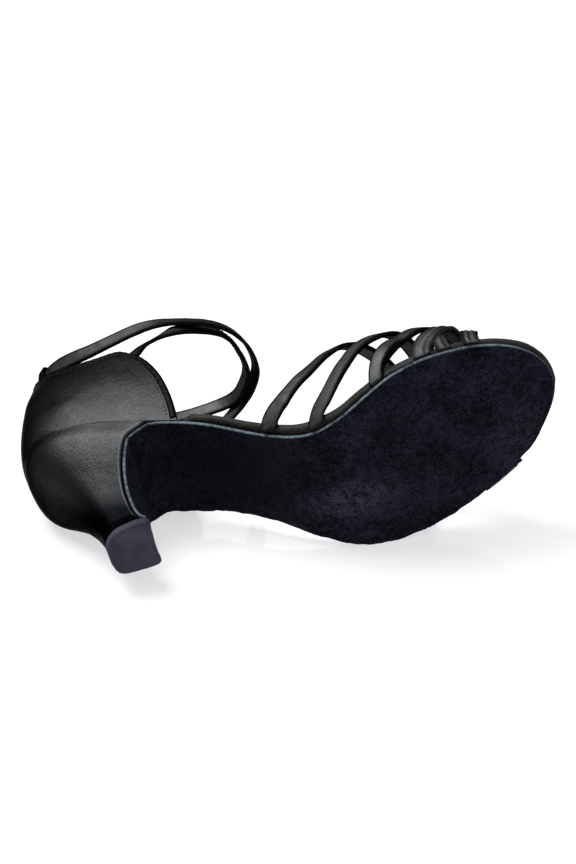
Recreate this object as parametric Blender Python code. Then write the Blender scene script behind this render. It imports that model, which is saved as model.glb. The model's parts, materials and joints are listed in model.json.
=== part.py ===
"""Ballroom dance shoe: a strappy left sandal with a flared heel, lying on its outer side.

The shoe is shaped standing, with X from the seat's back to the toe, Y to the outer side
and Z up from the tread, then the whole shoe is laid down on its outer side.
"""
import math

import bmesh
import bpy
from mathutils import Matrix, Vector

# Named sizes, in metres
SOLE_LENGTH = 0.228
BALL_WIDTH = 0.087
SEAT_RISE = 0.073
TREAD_THICKNESS = 0.0016
BOARD_THICKNESS = 0.0036
SOCK_THICKNESS = 0.0024
SOCK_MARGIN = 0.0012
FIT_GAP = 0.0003
TIP_HEIGHT = 0.0040
TIP_ROUND = 0.0005
QUARTER_RISE = 0.060
QUARTER_WALL = 0.0020
BINDING_STEP = 0.0005
INSTEP_RISE = 0.068
STRAP_WIDTH = 0.0062
STRAP_THICKNESS = 0.0020
ANKLE_WIDTH = 0.0074
ANKLE_THICKNESS = 0.0018
STRAP_FOOT = 0.45
EDGE_ROUND = 0.0004
MERGE_DISTANCE = 0.00001
ARCH_POWER = 0.667
WAIST_START = 0.305
TOE_START = 0.900

# Width of the suede on the heel breast, as shares of the heel, at its foot and at the seat
BREAST_FOOT = 0.90
BREAST_SEAT = 0.98

# Sole outline: along is a share of the sole's length, inner and outer of the ball width
PLAN_COLUMNS = ("along", "inner", "outer")
PLAN = (
    (0.000, -0.005, 0.020),
    (0.003, 0.055, 0.112),
    (0.013, 0.125, 0.198),
    (0.035, 0.195, 0.260),
    (0.070, 0.247, 0.286),
    (0.114, 0.274, 0.293),
    (0.167, 0.286, 0.297),
    (0.241, 0.284, 0.298),
    (0.307, 0.279, 0.293),
    (0.373, 0.262, 0.290),
    (0.439, 0.239, 0.308),
    (0.504, 0.245, 0.375),
    (0.570, 0.310, 0.452),
    (0.632, 0.407, 0.488),
    (0.697, 0.484, 0.486),
    (0.768, 0.511, 0.446),
    (0.833, 0.498, 0.378),
    (0.895, 0.452, 0.293),
    (0.950, 0.365, 0.183),
    (0.982, 0.270, 0.062),
    (0.996, 0.192, -0.030),
    (1.000, 0.135, -0.110),
)

# Height of the sole's underside: a share of the seat's rise
PROFILE_COLUMNS = ("along", "rise")
PROFILE = (
    (0.000, 1.000),
    (0.044, 0.977),
    (0.096, 0.920),
    (0.162, 0.836),
    (0.219, 0.742),
    (0.285, 0.633),
    (0.351, 0.514),
    (0.417, 0.345),
    (0.482, 0.159),
    (0.548, 0.038),
    (0.614, 0.000),
    (0.790, 0.000),
    (0.900, 0.010),
    (1.000, 0.040),
)

# How far the board stands out past the outline, and how far its edges curl up, as shares
# of its thickness
BOARD_COLUMNS = ("along", "inner_out", "outer_out", "inner_lift", "outer_lift")
BOARD = (
    (0.000, -0.78, -0.78, 0.00, 0.00),
    (0.320, -0.78, -0.78, 0.00, 0.00),
    (0.342, 0.33, 0.22, 0.33, 0.17),
    (0.439, 0.56, 0.33, 0.61, 0.28),
    (0.520, 0.50, 0.28, 0.67, 0.22),
    (0.600, 0.11, -0.06, 0.39, 0.11),
    (0.720, -0.11, -0.11, 0.17, 0.06),
    (0.820, -0.06, 0.11, 0.06, 0.06),
    (0.890, 0.14, 0.28, 0.06, 0.06),
    (0.950, 0.42, 0.50, 0.06, 0.06),
    (1.000, 0.61, 0.61, 0.06, 0.06),
)

# Heel sections from the tip to the seat: shares of the sole's length and ball width
HEEL_COLUMNS = ("level", "back", "front", "inner", "outer")
HEEL = (
    (0.00, 0.1080, 0.1900, 0.120, 0.152),
    (0.10, 0.1060, 0.1780, 0.108, 0.130),
    (0.23, 0.0980, 0.1740, 0.110, 0.130),
    (0.40, 0.0800, 0.1725, 0.130, 0.152),
    (0.57, 0.0520, 0.1770, 0.168, 0.200),
    (0.72, 0.0220, 0.1860, 0.212, 0.246),
    (0.84, 0.0060, 0.1980, 0.248, 0.278),
    (0.92, 0.0010, 0.2105, 0.270, 0.292),
    (1.00, 0.0000, 0.2520, 0.284, 0.298),
)

# Where the suede bends from the heel breast into the waist: along, how far it hangs under
# the board and how much narrower it is than the outline, as shares of its thickness
BREAST_BEND = (
    (0.2390, 2.00, 0.88),
    (0.2560, 0.38, 0.31),
    (0.2760, 0.06, 0.06),
)

HEEL_LEVELS = (0.0, 0.07, 0.16, 0.27, 0.38, 0.48, 0.58, 0.67, 0.75, 0.82, 0.88, 0.92, 0.96, 1.0)

# Quarter stations from the inner front corner round the back to the outer front corner:
# the seat point, the belly point that bows the wall, and the topline point.
# Along is a share of the sole's length, side of the ball width (outer side positive),
# up a share of the quarter's rise above the seat's back.
QUARTER_COLUMNS = ("seat_along", "seat_side", "belly_along", "belly_side", "belly_up",
                   "top_along", "top_side", "top_up")
QUARTER = (
    (0.310, -0.279, 0.331, -0.372, 0.12, 0.276, -0.330, 0.533),
    (0.270, -0.282, 0.280, -0.370, 0.16, 0.250, -0.332, 0.598),
    (0.220, -0.285, 0.215, -0.365, 0.21, 0.205, -0.318, 0.632),
    (0.167, -0.286, 0.155, -0.355, 0.26, 0.158, -0.288, 0.708),
    (0.110, -0.271, 0.090, -0.328, 0.30, 0.115, -0.240, 0.830),
    (0.055, -0.228, 0.028, -0.262, 0.33, 0.080, -0.168, 0.928),
    (0.018, -0.142, 0.004, -0.158, 0.34, 0.064, -0.085, 0.962),
    (0.000, 0.008, -0.010, 0.014, 0.34, 0.061, 0.000, 0.967),
    (0.016, 0.212, -0.006, 0.228, 0.28, 0.064, 0.085, 0.962),
    (0.055, 0.278, 0.026, 0.318, 0.28, 0.082, 0.172, 0.928),
    (0.110, 0.292, 0.088, 0.362, 0.27, 0.115, 0.250, 0.830),
    (0.167, 0.294, 0.155, 0.382, 0.26, 0.158, 0.300, 0.708),
    (0.220, 0.298, 0.215, 0.384, 0.21, 0.205, 0.332, 0.632),
    (0.270, 0.296, 0.280, 0.384, 0.16, 0.250, 0.348, 0.595),
    (0.310, 0.293, 0.331, 0.384, 0.12, 0.276, 0.346, 0.530),
)

# Arch that the vamp straps follow: ridge is a share of the instep's rise over the tread.
# How far its feet stand past the outline and how far its flanks bow are shares of a strap's
# thickness.
ARCH_COLUMNS = ("along", "ridge", "inner_spread", "outer_spread", "inner_bulge", "outer_bulge")
ARCH = (
    (0.430, 1.120, 1.45, 1.05, 1.00, 2.00),
    (0.480, 1.060, 1.40, 1.05, 1.30, 1.75),
    (0.540, 1.010, 1.30, 0.85, 1.30, 1.00),
    (0.600, 0.985, 0.70, 0.35, 0.75, 0.50),
    (0.650, 0.930, 0.40, 0.35, 0.25, 0.15),
    (0.693, 0.825, 0.30, 0.38, 0.00, 0.00),
    (0.750, 0.680, 0.35, 0.50, 0.00, 0.00),
    (0.790, 0.575, 0.40, 0.64, 0.00, 0.00),
    (0.820, 0.494, 0.45, 0.78, 0.00, 0.00),
    (0.868, 0.368, 0.65, 0.95, 0.00, 0.00),
    (0.908, 0.325, 0.90, 1.10, 0.00, 0.00),
    (1.000, 0.250, 1.60, 1.60, 0.00, 0.00),
)

# Vamp straps: places along the sole at set turns over the arch from the inner to the
# outer foot, the lift off the arch as a share of the strap thickness and the width as a share
# of the strap width
STRAP_TURNS = (0.0, 0.10, 0.25, 0.50, 0.75, 0.90, 1.0)
STRAP_COLUMNS = ("inner_foot", "inner_low", "inner_side", "crown", "outer_side", "outer_low",
                 "outer_foot", "lift", "wide")
STRAPS = (
    (0.463, 0.524, 0.652, 0.756, 0.818, 0.842, 0.852, 0.00, 1.25),
    (0.545, 0.650, 0.748, 0.806, 0.842, 0.860, 0.868, 0.00, 1.25),
    (0.664, 0.756, 0.814, 0.861, 0.880, 0.887, 0.890, 0.00, 1.15),
    (0.755, 0.807, 0.842, 0.874, 0.889, 0.895, 0.900, 0.00, 1.35),
    (0.797, 0.805, 0.808, 0.788, 0.737, 0.697, 0.670, -0.60, 1.05),
    (0.850, 0.862, 0.868, 0.845, 0.780, 0.735, 0.710, -0.60, 1.20),
)

# Ankle strap, wound twice round the ankle: along is a share of the sole's length, side of
# the ball width (outer side positive) and up of the quarter's rise above the seat's back
ANKLE = (
    (0.232, -0.262, 0.520),
    (0.266, -0.276, 0.555),
    (0.300, -0.318, 0.565),
    (0.321, -0.354, 0.535),
    (0.346, -0.386, 0.495),
    (0.371, -0.398, 0.483),
    (0.399, -0.370, 0.520),
    (0.430, -0.318, 0.575),
    (0.465, -0.257, 0.613),
    (0.489, -0.166, 0.642),
    (0.501, -0.060, 0.663),
    (0.509, 0.046, 0.700),
    (0.504, 0.126, 0.733),
    (0.489, 0.207, 0.775),
    (0.477, 0.271, 0.825),
    (0.451, 0.322, 0.892),
    (0.404, 0.349, 0.942),
    (0.351, 0.352, 0.967),
    (0.289, 0.328, 0.980),
    (0.228, 0.287, 0.992),
    (0.167, 0.218, 1.013),
    (0.120, 0.121, 1.028),
    (0.089, 0.023, 1.034),
    (0.080, -0.046, 1.034),
    (0.088, -0.121, 1.020),
    (0.112, -0.201, 0.958),
    (0.146, -0.256, 0.884),
    (0.188, -0.304, 0.798),
    (0.241, -0.354, 0.725),
    (0.290, -0.394, 0.682),
    (0.334, -0.417, 0.636),
    (0.375, -0.417, 0.578),
    (0.414, -0.390, 0.556),
    (0.461, -0.333, 0.553),
    (0.496, -0.240, 0.567),
    (0.519, -0.115, 0.612),
    (0.528, 0.017, 0.667),
    (0.526, 0.103, 0.705),
    (0.512, 0.207, 0.758),
    (0.490, 0.293, 0.797),
    (0.462, 0.356, 0.800),
    (0.431, 0.392, 0.758),
    (0.395, 0.408, 0.687),
    (0.360, 0.410, 0.600),
    (0.325, 0.399, 0.517),
    (0.290, 0.388, 0.443),
    (0.255, 0.382, 0.390),
)

# Tilt of the ankle strap's face in degrees, at shares of the strap's length
TILT_COLUMNS = ("place", "tilt")
TILT = (
    (0.000, -8),
    (0.535, -8),
    (0.575, 12),
    (0.635, 12),
    (0.690, -8),
    (1.000, -8),
)

# Axis that the strap winds round, and the tab that holds it at the back
ANKLE_AXIS = 0.272
LOOP_PLACE = 0.530
LOOP_WIDTH = 0.0052
LOOP_BAND = 0.0010
LOOP_SLACK = 0.0007

# Buckle near the strap's outer end: its place along the strap and its sizes
BUCKLE_PLACE = 0.965
BUCKLE_LENGTH = 0.0120
BUCKLE_HEIGHT = 0.0105
BUCKLE_WIRE = 0.0016

# Grams per cubic centimetre, for finding how the shoe lies
DENSITY = {
    "outsole": 0.9,
    "insole_board": 0.9,
    "insole": 0.5,
    "heel": 1.0,
    "heel_tip": 1.2,
    "quarter": 0.8,
    "back_loop": 0.8,
    "vamp_straps": 0.8,
    "ankle_strap": 0.8,
    "buckle": 7.8,
    "buckle_prong": 7.8,
}

COLOURS = {
    "suede": (0.020, 0.021, 0.028, 1.0),
    "satin": (0.016, 0.016, 0.018, 1.0),
    "sock": (0.030, 0.029, 0.030, 1.0),
    "tip": (0.045, 0.040, 0.046, 1.0),
    "metal": (0.62, 0.62, 0.64, 1.0),
}


class Table:
    """Rows with named columns, read by smooth steps between the rows."""

    def __init__(self, columns, rows):
        self.columns = {name: index for index, name in enumerate(columns)}
        self.rows = rows

    def read(self, name, place):
        """Value of a column at a place along the first column."""
        column = self.columns[name]
        keys = [row[0] for row in self.rows]
        values = [row[column] for row in self.rows]
        if place <= keys[0]:
            return values[0]
        if place >= keys[-1]:
            return values[-1]
        index = max(i for i, key in enumerate(keys) if key <= place)
        span = keys[index + 1] - keys[index]
        slopes = [self.slope(keys, values, i) for i in (index, index + 1)]
        t = (place - keys[index]) / span
        a = values[index]
        b = values[index + 1]
        return (a * (1 + 2 * t) * (1 - t) ** 2 + slopes[0] * span * t * (1 - t) ** 2
                + b * t * t * (3 - 2 * t) + slopes[1] * span * t * t * (t - 1))

    @staticmethod
    def slope(keys, values, index):
        """Slope at a row that never overshoots its neighbours."""
        if index == 0 or index == len(keys) - 1:
            near = 1 if index == 0 else index
            return (values[near] - values[near - 1]) / (keys[near] - keys[near - 1])
        before = (values[index] - values[index - 1]) / (keys[index] - keys[index - 1])
        after = (values[index + 1] - values[index]) / (keys[index + 1] - keys[index])
        if before * after <= 0:
            return 0.0
        return 2 * before * after / (before + after)


PLAN_TABLE = Table(PLAN_COLUMNS, PLAN)
PROFILE_TABLE = Table(PROFILE_COLUMNS, PROFILE)
BOARD_TABLE = Table(BOARD_COLUMNS, BOARD)
HEEL_TABLE = Table(HEEL_COLUMNS, HEEL)
ARCH_TABLE = Table(ARCH_COLUMNS, ARCH)
TILT_TABLE = Table(TILT_COLUMNS, TILT)


def catmull(points, place):
    """Point on a smooth curve through the points, place running from 0 to 1."""
    spans = len(points) - 1
    scaled = min(max(place, 0.0), 1.0) * spans
    index = min(int(scaled), spans - 1)
    t = scaled - index
    p1 = points[index]
    p2 = points[index + 1]
    p0 = points[index - 1] if index > 0 else p1 * 2 - p2
    p3 = points[index + 2] if index + 2 <= spans else p2 * 2 - p1
    return ((p1 * 2) + (p2 - p0) * t + (p0 * 2 - p1 * 5 + p2 * 4 - p3) * t * t
            + (p1 * 3 - p0 - p2 * 3 + p3) * t ** 3) * 0.5


def underside(x):
    """Height of the sole's underside at a distance from the seat's back."""
    return SEAT_RISE * PROFILE_TABLE.read("rise", x / SOLE_LENGTH)


def edge_point(along, side, out):
    """Point of the outline, moved outward; side is -1 for inner and 1 for outer."""
    name = "inner" if side < 0 else "outer"
    step = 0.002

    def place(value):
        value = min(max(value, 0.0), 1.0)
        return Vector((value * SOLE_LENGTH, side * BALL_WIDTH * PLAN_TABLE.read(name, value)))

    tangent = place(along + step) - place(along - step)
    normal = Vector((-tangent.y, tangent.x)).normalized() * side
    return place(along) + normal * out


def eased(count, start, end):
    """Places from start to end that crowd together at both ends."""
    steps = [(1 - math.cos(math.pi * i / count)) / 2 for i in range(count + 1)]
    return [start + (end - start) * step for step in steps]


def sole_stations():
    """Places along the sole, even through the bends and closer together at both ends."""
    rear = [WAIST_START * (1 - math.cos(math.pi / 2 * i / 7)) for i in range(7)]
    return rear + front_stations()


def front_stations():
    """Places along the sole in front of the heel."""
    middle = [WAIST_START + (TOE_START - WAIST_START) * i / 21 for i in range(21)]
    toe = [TOE_START + (1 - TOE_START) * math.sin(math.pi / 2 * i / 9) for i in range(10)]
    return middle + toe


def make_object(name, vertices, faces, material):
    """One closed object with outward faces and its material."""
    mesh = bpy.data.meshes.new(name)
    mesh.from_pydata([tuple(v) for v in vertices], [], faces)
    shape = bmesh.new()
    shape.from_mesh(mesh)
    bmesh.ops.remove_doubles(shape, verts=shape.verts, dist=MERGE_DISTANCE)
    bmesh.ops.dissolve_degenerate(shape, edges=shape.edges, dist=MERGE_DISTANCE)
    bmesh.ops.recalc_face_normals(shape, faces=shape.faces)
    shape.to_mesh(mesh)
    shape.free()
    mesh.materials.append(material)
    item = bpy.data.objects.new(name, mesh)
    bpy.context.scene.collection.objects.link(item)
    return item


def loft(name, rings, material, closed=False):
    """Solid through a row of equal rings, capped at its ends unless it closes on itself."""
    size = len(rings[0])
    vertices = [point for ring in rings for point in ring]
    faces = []
    count = len(rings)
    for row in range(count if closed else count - 1):
        near = row * size
        far = ((row + 1) % count) * size
        for i in range(size):
            j = (i + 1) % size
            faces.append((near + i, near + j, far + j, far + i))
    if not closed:
        faces.append(tuple(range(size)))
        faces.append(tuple(range((count - 1) * size, count * size)))
    return make_object(name, vertices, faces, material)


def shell(name, outer, inner, material):
    """Solid between two grids of points that share their rim."""
    rows = len(outer)
    columns = len(outer[0])
    offset = rows * columns
    vertices = [p for row in outer for p in row] + [p for row in inner for p in row]

    def at(row, column, layer):
        return layer * offset + row * columns + column

    faces = []
    for r in range(rows - 1):
        for c in range(columns - 1):
            faces.append((at(r, c, 0), at(r, c + 1, 0), at(r + 1, c + 1, 0), at(r + 1, c, 0)))
            faces.append((at(r, c, 1), at(r + 1, c, 1), at(r + 1, c + 1, 1), at(r, c + 1, 1)))
    for c in range(columns - 1):
        for r in (0, rows - 1):
            faces.append((at(r, c, 0), at(r, c, 1), at(r, c + 1, 1), at(r, c + 1, 0)))
    for r in range(rows - 1):
        for c in (0, columns - 1):
            faces.append((at(r, c, 0), at(r + 1, c, 0), at(r + 1, c, 1), at(r, c, 1)))
    return make_object(name, vertices, faces, material)


def slab_ring(inner_edge, outer_edge, up, thickness, lifts=(0.0, 0.0), rise=None, columns=6):
    """Ring of a flat slab between two edges, with small rounds and edges that curl up."""
    across = outer_edge - inner_edge
    width = max(across.length, 1e-6)
    inset = min(EDGE_ROUND / width, 0.3)
    ring = []

    def point(share, height):
        place = inner_edge + across * share
        if rise is not None:
            place = Vector((place.x, place.y, rise(place.x)))
        curl = lifts[0] * max(0.0, 1 - share / 0.35) ** 2
        curl += lifts[1] * max(0.0, 1 - (1 - share) / 0.35) ** 2
        return place + up * (height + curl)

    for i in range(columns + 1):
        share = inset + (1 - 2 * inset) * i / columns
        ring.append(point(share, 0.0))
    ring.append(point(1.0, EDGE_ROUND))
    ring.append(point(1.0, thickness - EDGE_ROUND))
    for i in range(columns + 1):
        share = 1 - inset - (1 - 2 * inset) * i / columns
        ring.append(point(share, thickness))
    ring.append(point(0.0, thickness - EDGE_ROUND))
    ring.append(point(0.0, EDGE_ROUND))
    return ring


def footbed_slab(name, base, thickness, margin, material):
    """Slab that follows the sole above its underside, with the board's edges less a margin."""
    rings = []
    for along in sole_stations():
        edges = []
        for side, word in ((-1, "inner_out"), (1, "outer_out")):
            out = BOARD_TABLE.read(word, along) * BOARD_THICKNESS - margin
            edges.append(edge_point(along, side, out).to_3d())
        lifts = [BOARD_TABLE.read(word, along) * BOARD_THICKNESS
                 for word in ("inner_lift", "outer_lift")]
        rings.append(slab_ring(edges[0], edges[1], Vector((0, 0, 1)), thickness, lifts,
                               lambda x: underside(x) + base))
    return loft(name, rings, material)


def heel_point(level, turn):
    """Point on the heel's side; turn runs from the inner breast corner round the back."""
    breast = HEEL_TABLE.read("front", 1.0)
    side = -1 if turn < 0.5 else 1
    share = abs(turn - 0.5) * 2
    along = breast * (1 - math.cos(math.pi * share / 2)) ** 1.15
    rim = edge_point(along, side, 0.0)
    back = HEEL_TABLE.read("back", level) * SOLE_LENGTH
    front = HEEL_TABLE.read("front", level) * SOLE_LENGTH
    x = back + (front - back) * along / breast
    name = "inner" if side < 0 else "outer"
    wide = HEEL_TABLE.read(name, level) / HEEL_TABLE.read(name, 1.0)
    y = rim.y * wide
    top = underside(rim.x) + TREAD_THICKNESS
    return Vector((x, y, TIP_HEIGHT + FIT_GAP + (top - TIP_HEIGHT - FIT_GAP) * level))


def heel_ring(level):
    """Closed heel section with small rounds at its two breast corners."""
    ring = [heel_point(level, i / 24) for i in range(25)]
    cut = 0.14
    first = ring[0].lerp(ring[-1], cut * 0.35)
    last = ring[-1].lerp(ring[0], cut * 0.35)
    ring[0] = ring[0].lerp(ring[1], 0.45)
    ring[-1] = ring[-1].lerp(ring[-2], 0.45)
    across = [last.lerp(first, i / 4) for i in range(5)]
    return ring + across


def build_heel(material):
    """Covered heel that narrows from the seat and flares a little at its foot."""
    return loft("heel", [heel_ring(level) for level in HEEL_LEVELS], material)


def build_tip(material):
    """Top piece under the heel and under the end of the suede."""
    back = HEEL_TABLE.read("back", 0.0) * SOLE_LENGTH
    front = HEEL_TABLE.read("front", 0.0) * SOLE_LENGTH
    reach = (front + FIT_GAP + TREAD_THICKNESS - back) / (front - back)
    rings = []
    for height, inset in ((0.0, TIP_ROUND), (TIP_ROUND, 0.0), (TIP_HEIGHT - EDGE_ROUND, 0.0),
                          (TIP_HEIGHT, EDGE_ROUND)):
        ring = []
        for point in heel_ring(0.0):
            place = Vector((back + (point.x - back) * reach, point.y, height))
            middle = Vector(((back + front) / 2, 0.0, height))
            ring.append(place - (place - middle).normalized() * inset)
        rings.append(ring)
    return loft("heel_tip", rings, material)


def build_outsole(material):
    """Suede sole that turns down the heel breast to the top piece."""
    path = []
    sides = []
    step = 0.01
    for level in (step / 2,) + HEEL_LEVELS[1:12]:
        point = heel_point(level, 0.0)
        run = heel_point(level + step, 0.0) - heel_point(max(level - step, 0.0), 0.0)
        off = Vector((run.z, 0, -run.x)).normalized() * FIT_GAP
        path.append(Vector((point.x + off.x, 0, point.z + off.z)))
        trim = BREAST_FOOT + (BREAST_SEAT - BREAST_FOOT) * level
        sides.append((point.y * trim, heel_point(level, 1.0).y * trim))
    for along, sag, narrow in BREAST_BEND:
        x = along * SOLE_LENGTH
        path.append(Vector((x, 0, underside(x) + TREAD_THICKNESS * (1 - sag))))
        sides.append([edge_point(along, side, -narrow * TREAD_THICKNESS).y for side in (-1, 1)])
    bend = len(path)
    for along in front_stations():
        x = along * SOLE_LENGTH
        path.append(Vector((x, 0, underside(x) + TREAD_THICKNESS)))
        sides.append(None)
    rings = []
    for i, point in enumerate(path):
        before = path[max(i - 1, 0)]
        after = path[min(i + 1, len(path) - 1)]
        run = (after - before).normalized()
        up = Vector((-run.z, 0, run.x))
        if i >= bend:
            edges = [edge_point(point.x / SOLE_LENGTH, side, 0.0).to_3d() for side in (-1, 1)]
            for edge in edges:
                edge.z = underside(edge.x) + TREAD_THICKNESS
        else:
            edges = [Vector((point.x, y, point.z)) for y in sides[i]]
        base = [edge - up * TREAD_THICKNESS for edge in edges]
        rings.append(slab_ring(base[0], base[1], up, TREAD_THICKNESS, columns=2))
    return loft("outsole", rings, material)


def quarter_point(turn, level):
    """Point on the quarter's outside; turn runs round the heel, level from seat to topline."""
    rows = [dict(zip(QUARTER_COLUMNS, row)) for row in QUARTER]

    def spot(row, word, up):
        return Vector((row[word + "_along"] * SOLE_LENGTH, row[word + "_side"] * BALL_WIDTH, up))

    seats = [spot(r, "seat", underside(r["seat_along"] * SOLE_LENGTH) + TREAD_THICKNESS + FIT_GAP)
             for r in rows]
    bellies = [spot(r, "belly", SEAT_RISE + r["belly_up"] * QUARTER_RISE) for r in rows]
    tops = [spot(r, "top", SEAT_RISE + r["top_up"] * QUARTER_RISE) for r in rows]
    seat = catmull(seats, turn)
    belly = catmull(bellies, turn)
    top = catmull(tops, turn)
    return seat * (1 - level) ** 2 + belly * 2 * level * (1 - level) + top * level ** 2


def build_quarter(material):
    """Closed back: one thin curved wall with a thicker bound rim."""
    turns = [0.0, 0.014, 0.028] + [0.07 + 0.86 * i / 30 for i in range(31)] + [0.972, 0.986, 1.0]
    levels = [0.0, 0.10, 0.22, 0.35, 0.48, 0.61, 0.73, 0.83, 0.905, 0.955, 1.0]
    step = 0.004
    outer = []
    inner = []
    for level in levels:
        outer_row = []
        inner_row = []
        for turn in turns:
            point = quarter_point(turn, level)
            around = quarter_point(min(turn + step, 1), level) - quarter_point(max(turn - step, 0), level)
            upward = quarter_point(turn, min(level + step, 1)) - quarter_point(turn, max(level - step, 0))
            normal = upward.cross(around).normalized()
            bound = level > 0.92 or min(turn, 1 - turn) < 0.02
            stand = BINDING_STEP if bound and level > 0.05 else 0.0
            outer_row.append(point + normal * stand)
            inner_row.append(point - normal * QUARTER_WALL)
        outer.append(outer_row)
        inner.append(inner_row)
    return shell("quarter", outer, inner, material)


def arch_point(x, turn, lift):
    """Point over the foot's arch; turn runs from the inner foot to the outer foot."""
    along = x / SOLE_LENGTH
    inner = edge_point(along, -1, ARCH_TABLE.read("inner_spread", along) * STRAP_THICKNESS)
    outer = edge_point(along, 1, ARCH_TABLE.read("outer_spread", along) * STRAP_THICKNESS)
    base = underside(x) + TREAD_THICKNESS + FIT_GAP
    ridge = INSTEP_RISE * ARCH_TABLE.read("ridge", along) - base
    angle = math.pi * turn
    across = -math.copysign(abs(math.cos(angle)) ** ARCH_POWER, math.cos(angle))
    height = abs(math.sin(angle)) ** ARCH_POWER
    place = (inner + outer) / 2 + (outer - inner) / 2 * across
    word = "inner_bulge" if turn < 0.5 else "outer_bulge"
    bow = ARCH_TABLE.read(word, along) * STRAP_THICKNESS * abs(math.sin(2 * angle))
    bow = -bow if turn < 0.5 else bow
    out = Vector((0, across, height)).normalized() * lift
    return Vector((place.x, place.y + bow, base + ridge * height)) + out


def flat_ring(centre, across, out, width, thickness):
    """Eight-sided ring of a soft flat strap."""
    shape = ((-0.50, -0.22), (-0.40, -0.50), (0.40, -0.50), (0.50, -0.22),
             (0.50, 0.22), (0.40, 0.50), (-0.40, 0.50), (-0.50, 0.22))
    return [centre + across * (u * width) + out * (v * thickness) for u, v in shape]


def build_strap(name, row, material):
    """One vamp strap over the arch."""
    values = dict(zip(STRAP_COLUMNS, row))
    steps = zip(STRAP_TURNS, [values[word] * SOLE_LENGTH for word in STRAP_COLUMNS[:7]])
    places = Table(("turn", "x"), tuple(steps))
    lift = values["lift"] * STRAP_THICKNESS
    width = STRAP_WIDTH * values["wide"]
    rings = []
    count = 20
    step = SOLE_LENGTH / 200

    def centre(turn):
        turn = min(max(turn, 0.0), 1.0)
        rise = lift * min(1.0, 5 * min(turn, 1 - turn))
        return arch_point(places.read("x", turn), turn, rise)

    for turn in eased(count, 0.0, 1.0):
        here = centre(turn)
        x = places.read("x", turn)
        run = (centre(turn + 0.01) - centre(turn - 0.01)).normalized()
        side = arch_point(x + step, turn, 0) - arch_point(x - step, turn, 0)
        over = arch_point(x, min(turn + 0.01, 1), 0) - arch_point(x, max(turn - 0.01, 0), 0)
        out = side.cross(over).normalized()
        if out.z < 0 and 0.1 < turn < 0.9:
            out = -out
        if turn <= 0.1 and out.y > 0:
            out = -out
        if turn >= 0.9 and out.y < 0:
            out = -out
        foot = min(turn, 1 - turn)
        across = run.cross(out).normalized()
        if foot < 0.01:
            across = Vector((across.x, across.y, 0)).normalized()
            out = Vector((out.x, out.y, 0)).normalized()
        thin = STRAP_FOOT + (1 - STRAP_FOOT) * min(foot / 0.06, 1.0)
        rings.append(flat_ring(here, across, out, width, STRAP_THICKNESS * thin))
    return loft(name, rings, material)


def unite(target, others):
    """Join solids that cross into the target."""
    for other in others:
        cut = target.modifiers.new("join", "BOOLEAN")
        cut.operation = "UNION"
        cut.solver = "EXACT"
        cut.object = other
        graph = bpy.context.evaluated_depsgraph_get()
        mesh = bpy.data.meshes.new_from_object(target.evaluated_get(graph))
        target.modifiers.clear()
        target.data = mesh
        bpy.data.objects.remove(other, do_unlink=True)
    return target


def build_vamp(material):
    """Crossing vamp straps, joined where they cross."""
    straps = [build_strap("strap_%d" % i, row, material) for i, row in enumerate(STRAPS)]
    vamp = unite(straps[0], straps[1:])
    vamp.name = "vamp_straps"
    vamp.data.name = "vamp_straps"
    return vamp


def ankle_point(place):
    """Point on the ankle strap's middle line; place runs from the inner to the outer end."""
    points = [Vector((along * SOLE_LENGTH, side * BALL_WIDTH, SEAT_RISE + up * QUARTER_RISE))
              for along, side, up in ANKLE]
    return catmull(points, place)


def ankle_frame(place):
    """Middle point, run, outward and across directions of the ankle strap."""
    here = ankle_point(place)
    run = (ankle_point(place + 0.002) - ankle_point(place - 0.002)).normalized()
    out = Vector((here.x - ANKLE_AXIS * SOLE_LENGTH, here.y, 0))
    out = (out - run * out.dot(run)).normalized()
    across = run.cross(out).normalized()
    angle = math.radians(TILT_TABLE.read("tilt", place))
    tilted = out * math.cos(angle) + across * math.sin(angle)
    return here, run, tilted, run.cross(tilted).normalized()


def build_ankle_strap(material):
    """Long narrow strap wound twice round the ankle."""
    rings = []
    count = 84
    for i in range(count + 1):
        here, _, out, across = ankle_frame(i / count)
        rings.append(flat_ring(here, across, out, ANKLE_WIDTH, ANKLE_THICKNESS))
    return loft("ankle_strap", rings, material)


def build_back_loop(material):
    """Narrow tab that holds the ankle strap at the back of the topline."""
    here, run, out, across = ankle_frame(LOOP_PLACE)
    half_high = ANKLE_WIDTH / 2 + LOOP_SLACK + LOOP_BAND / 2
    half_deep = ANKLE_THICKNESS / 2 + LOOP_SLACK + LOOP_BAND / 2
    rings = []
    count = 16
    for i in range(count):
        angle = 2 * math.pi * i / count
        u = math.copysign(abs(math.cos(angle)) ** 0.5, math.cos(angle))
        v = math.copysign(abs(math.sin(angle)) ** 0.5, math.sin(angle))
        middle = here + across * (u * half_high) + out * (v * half_deep)
        spoke = (across * (u * half_deep) + out * (v * half_high)).normalized()
        rings.append(flat_ring(middle, run, spoke, LOOP_WIDTH, LOOP_BAND))
    return loft("back_loop", rings, material, closed=True)


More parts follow.
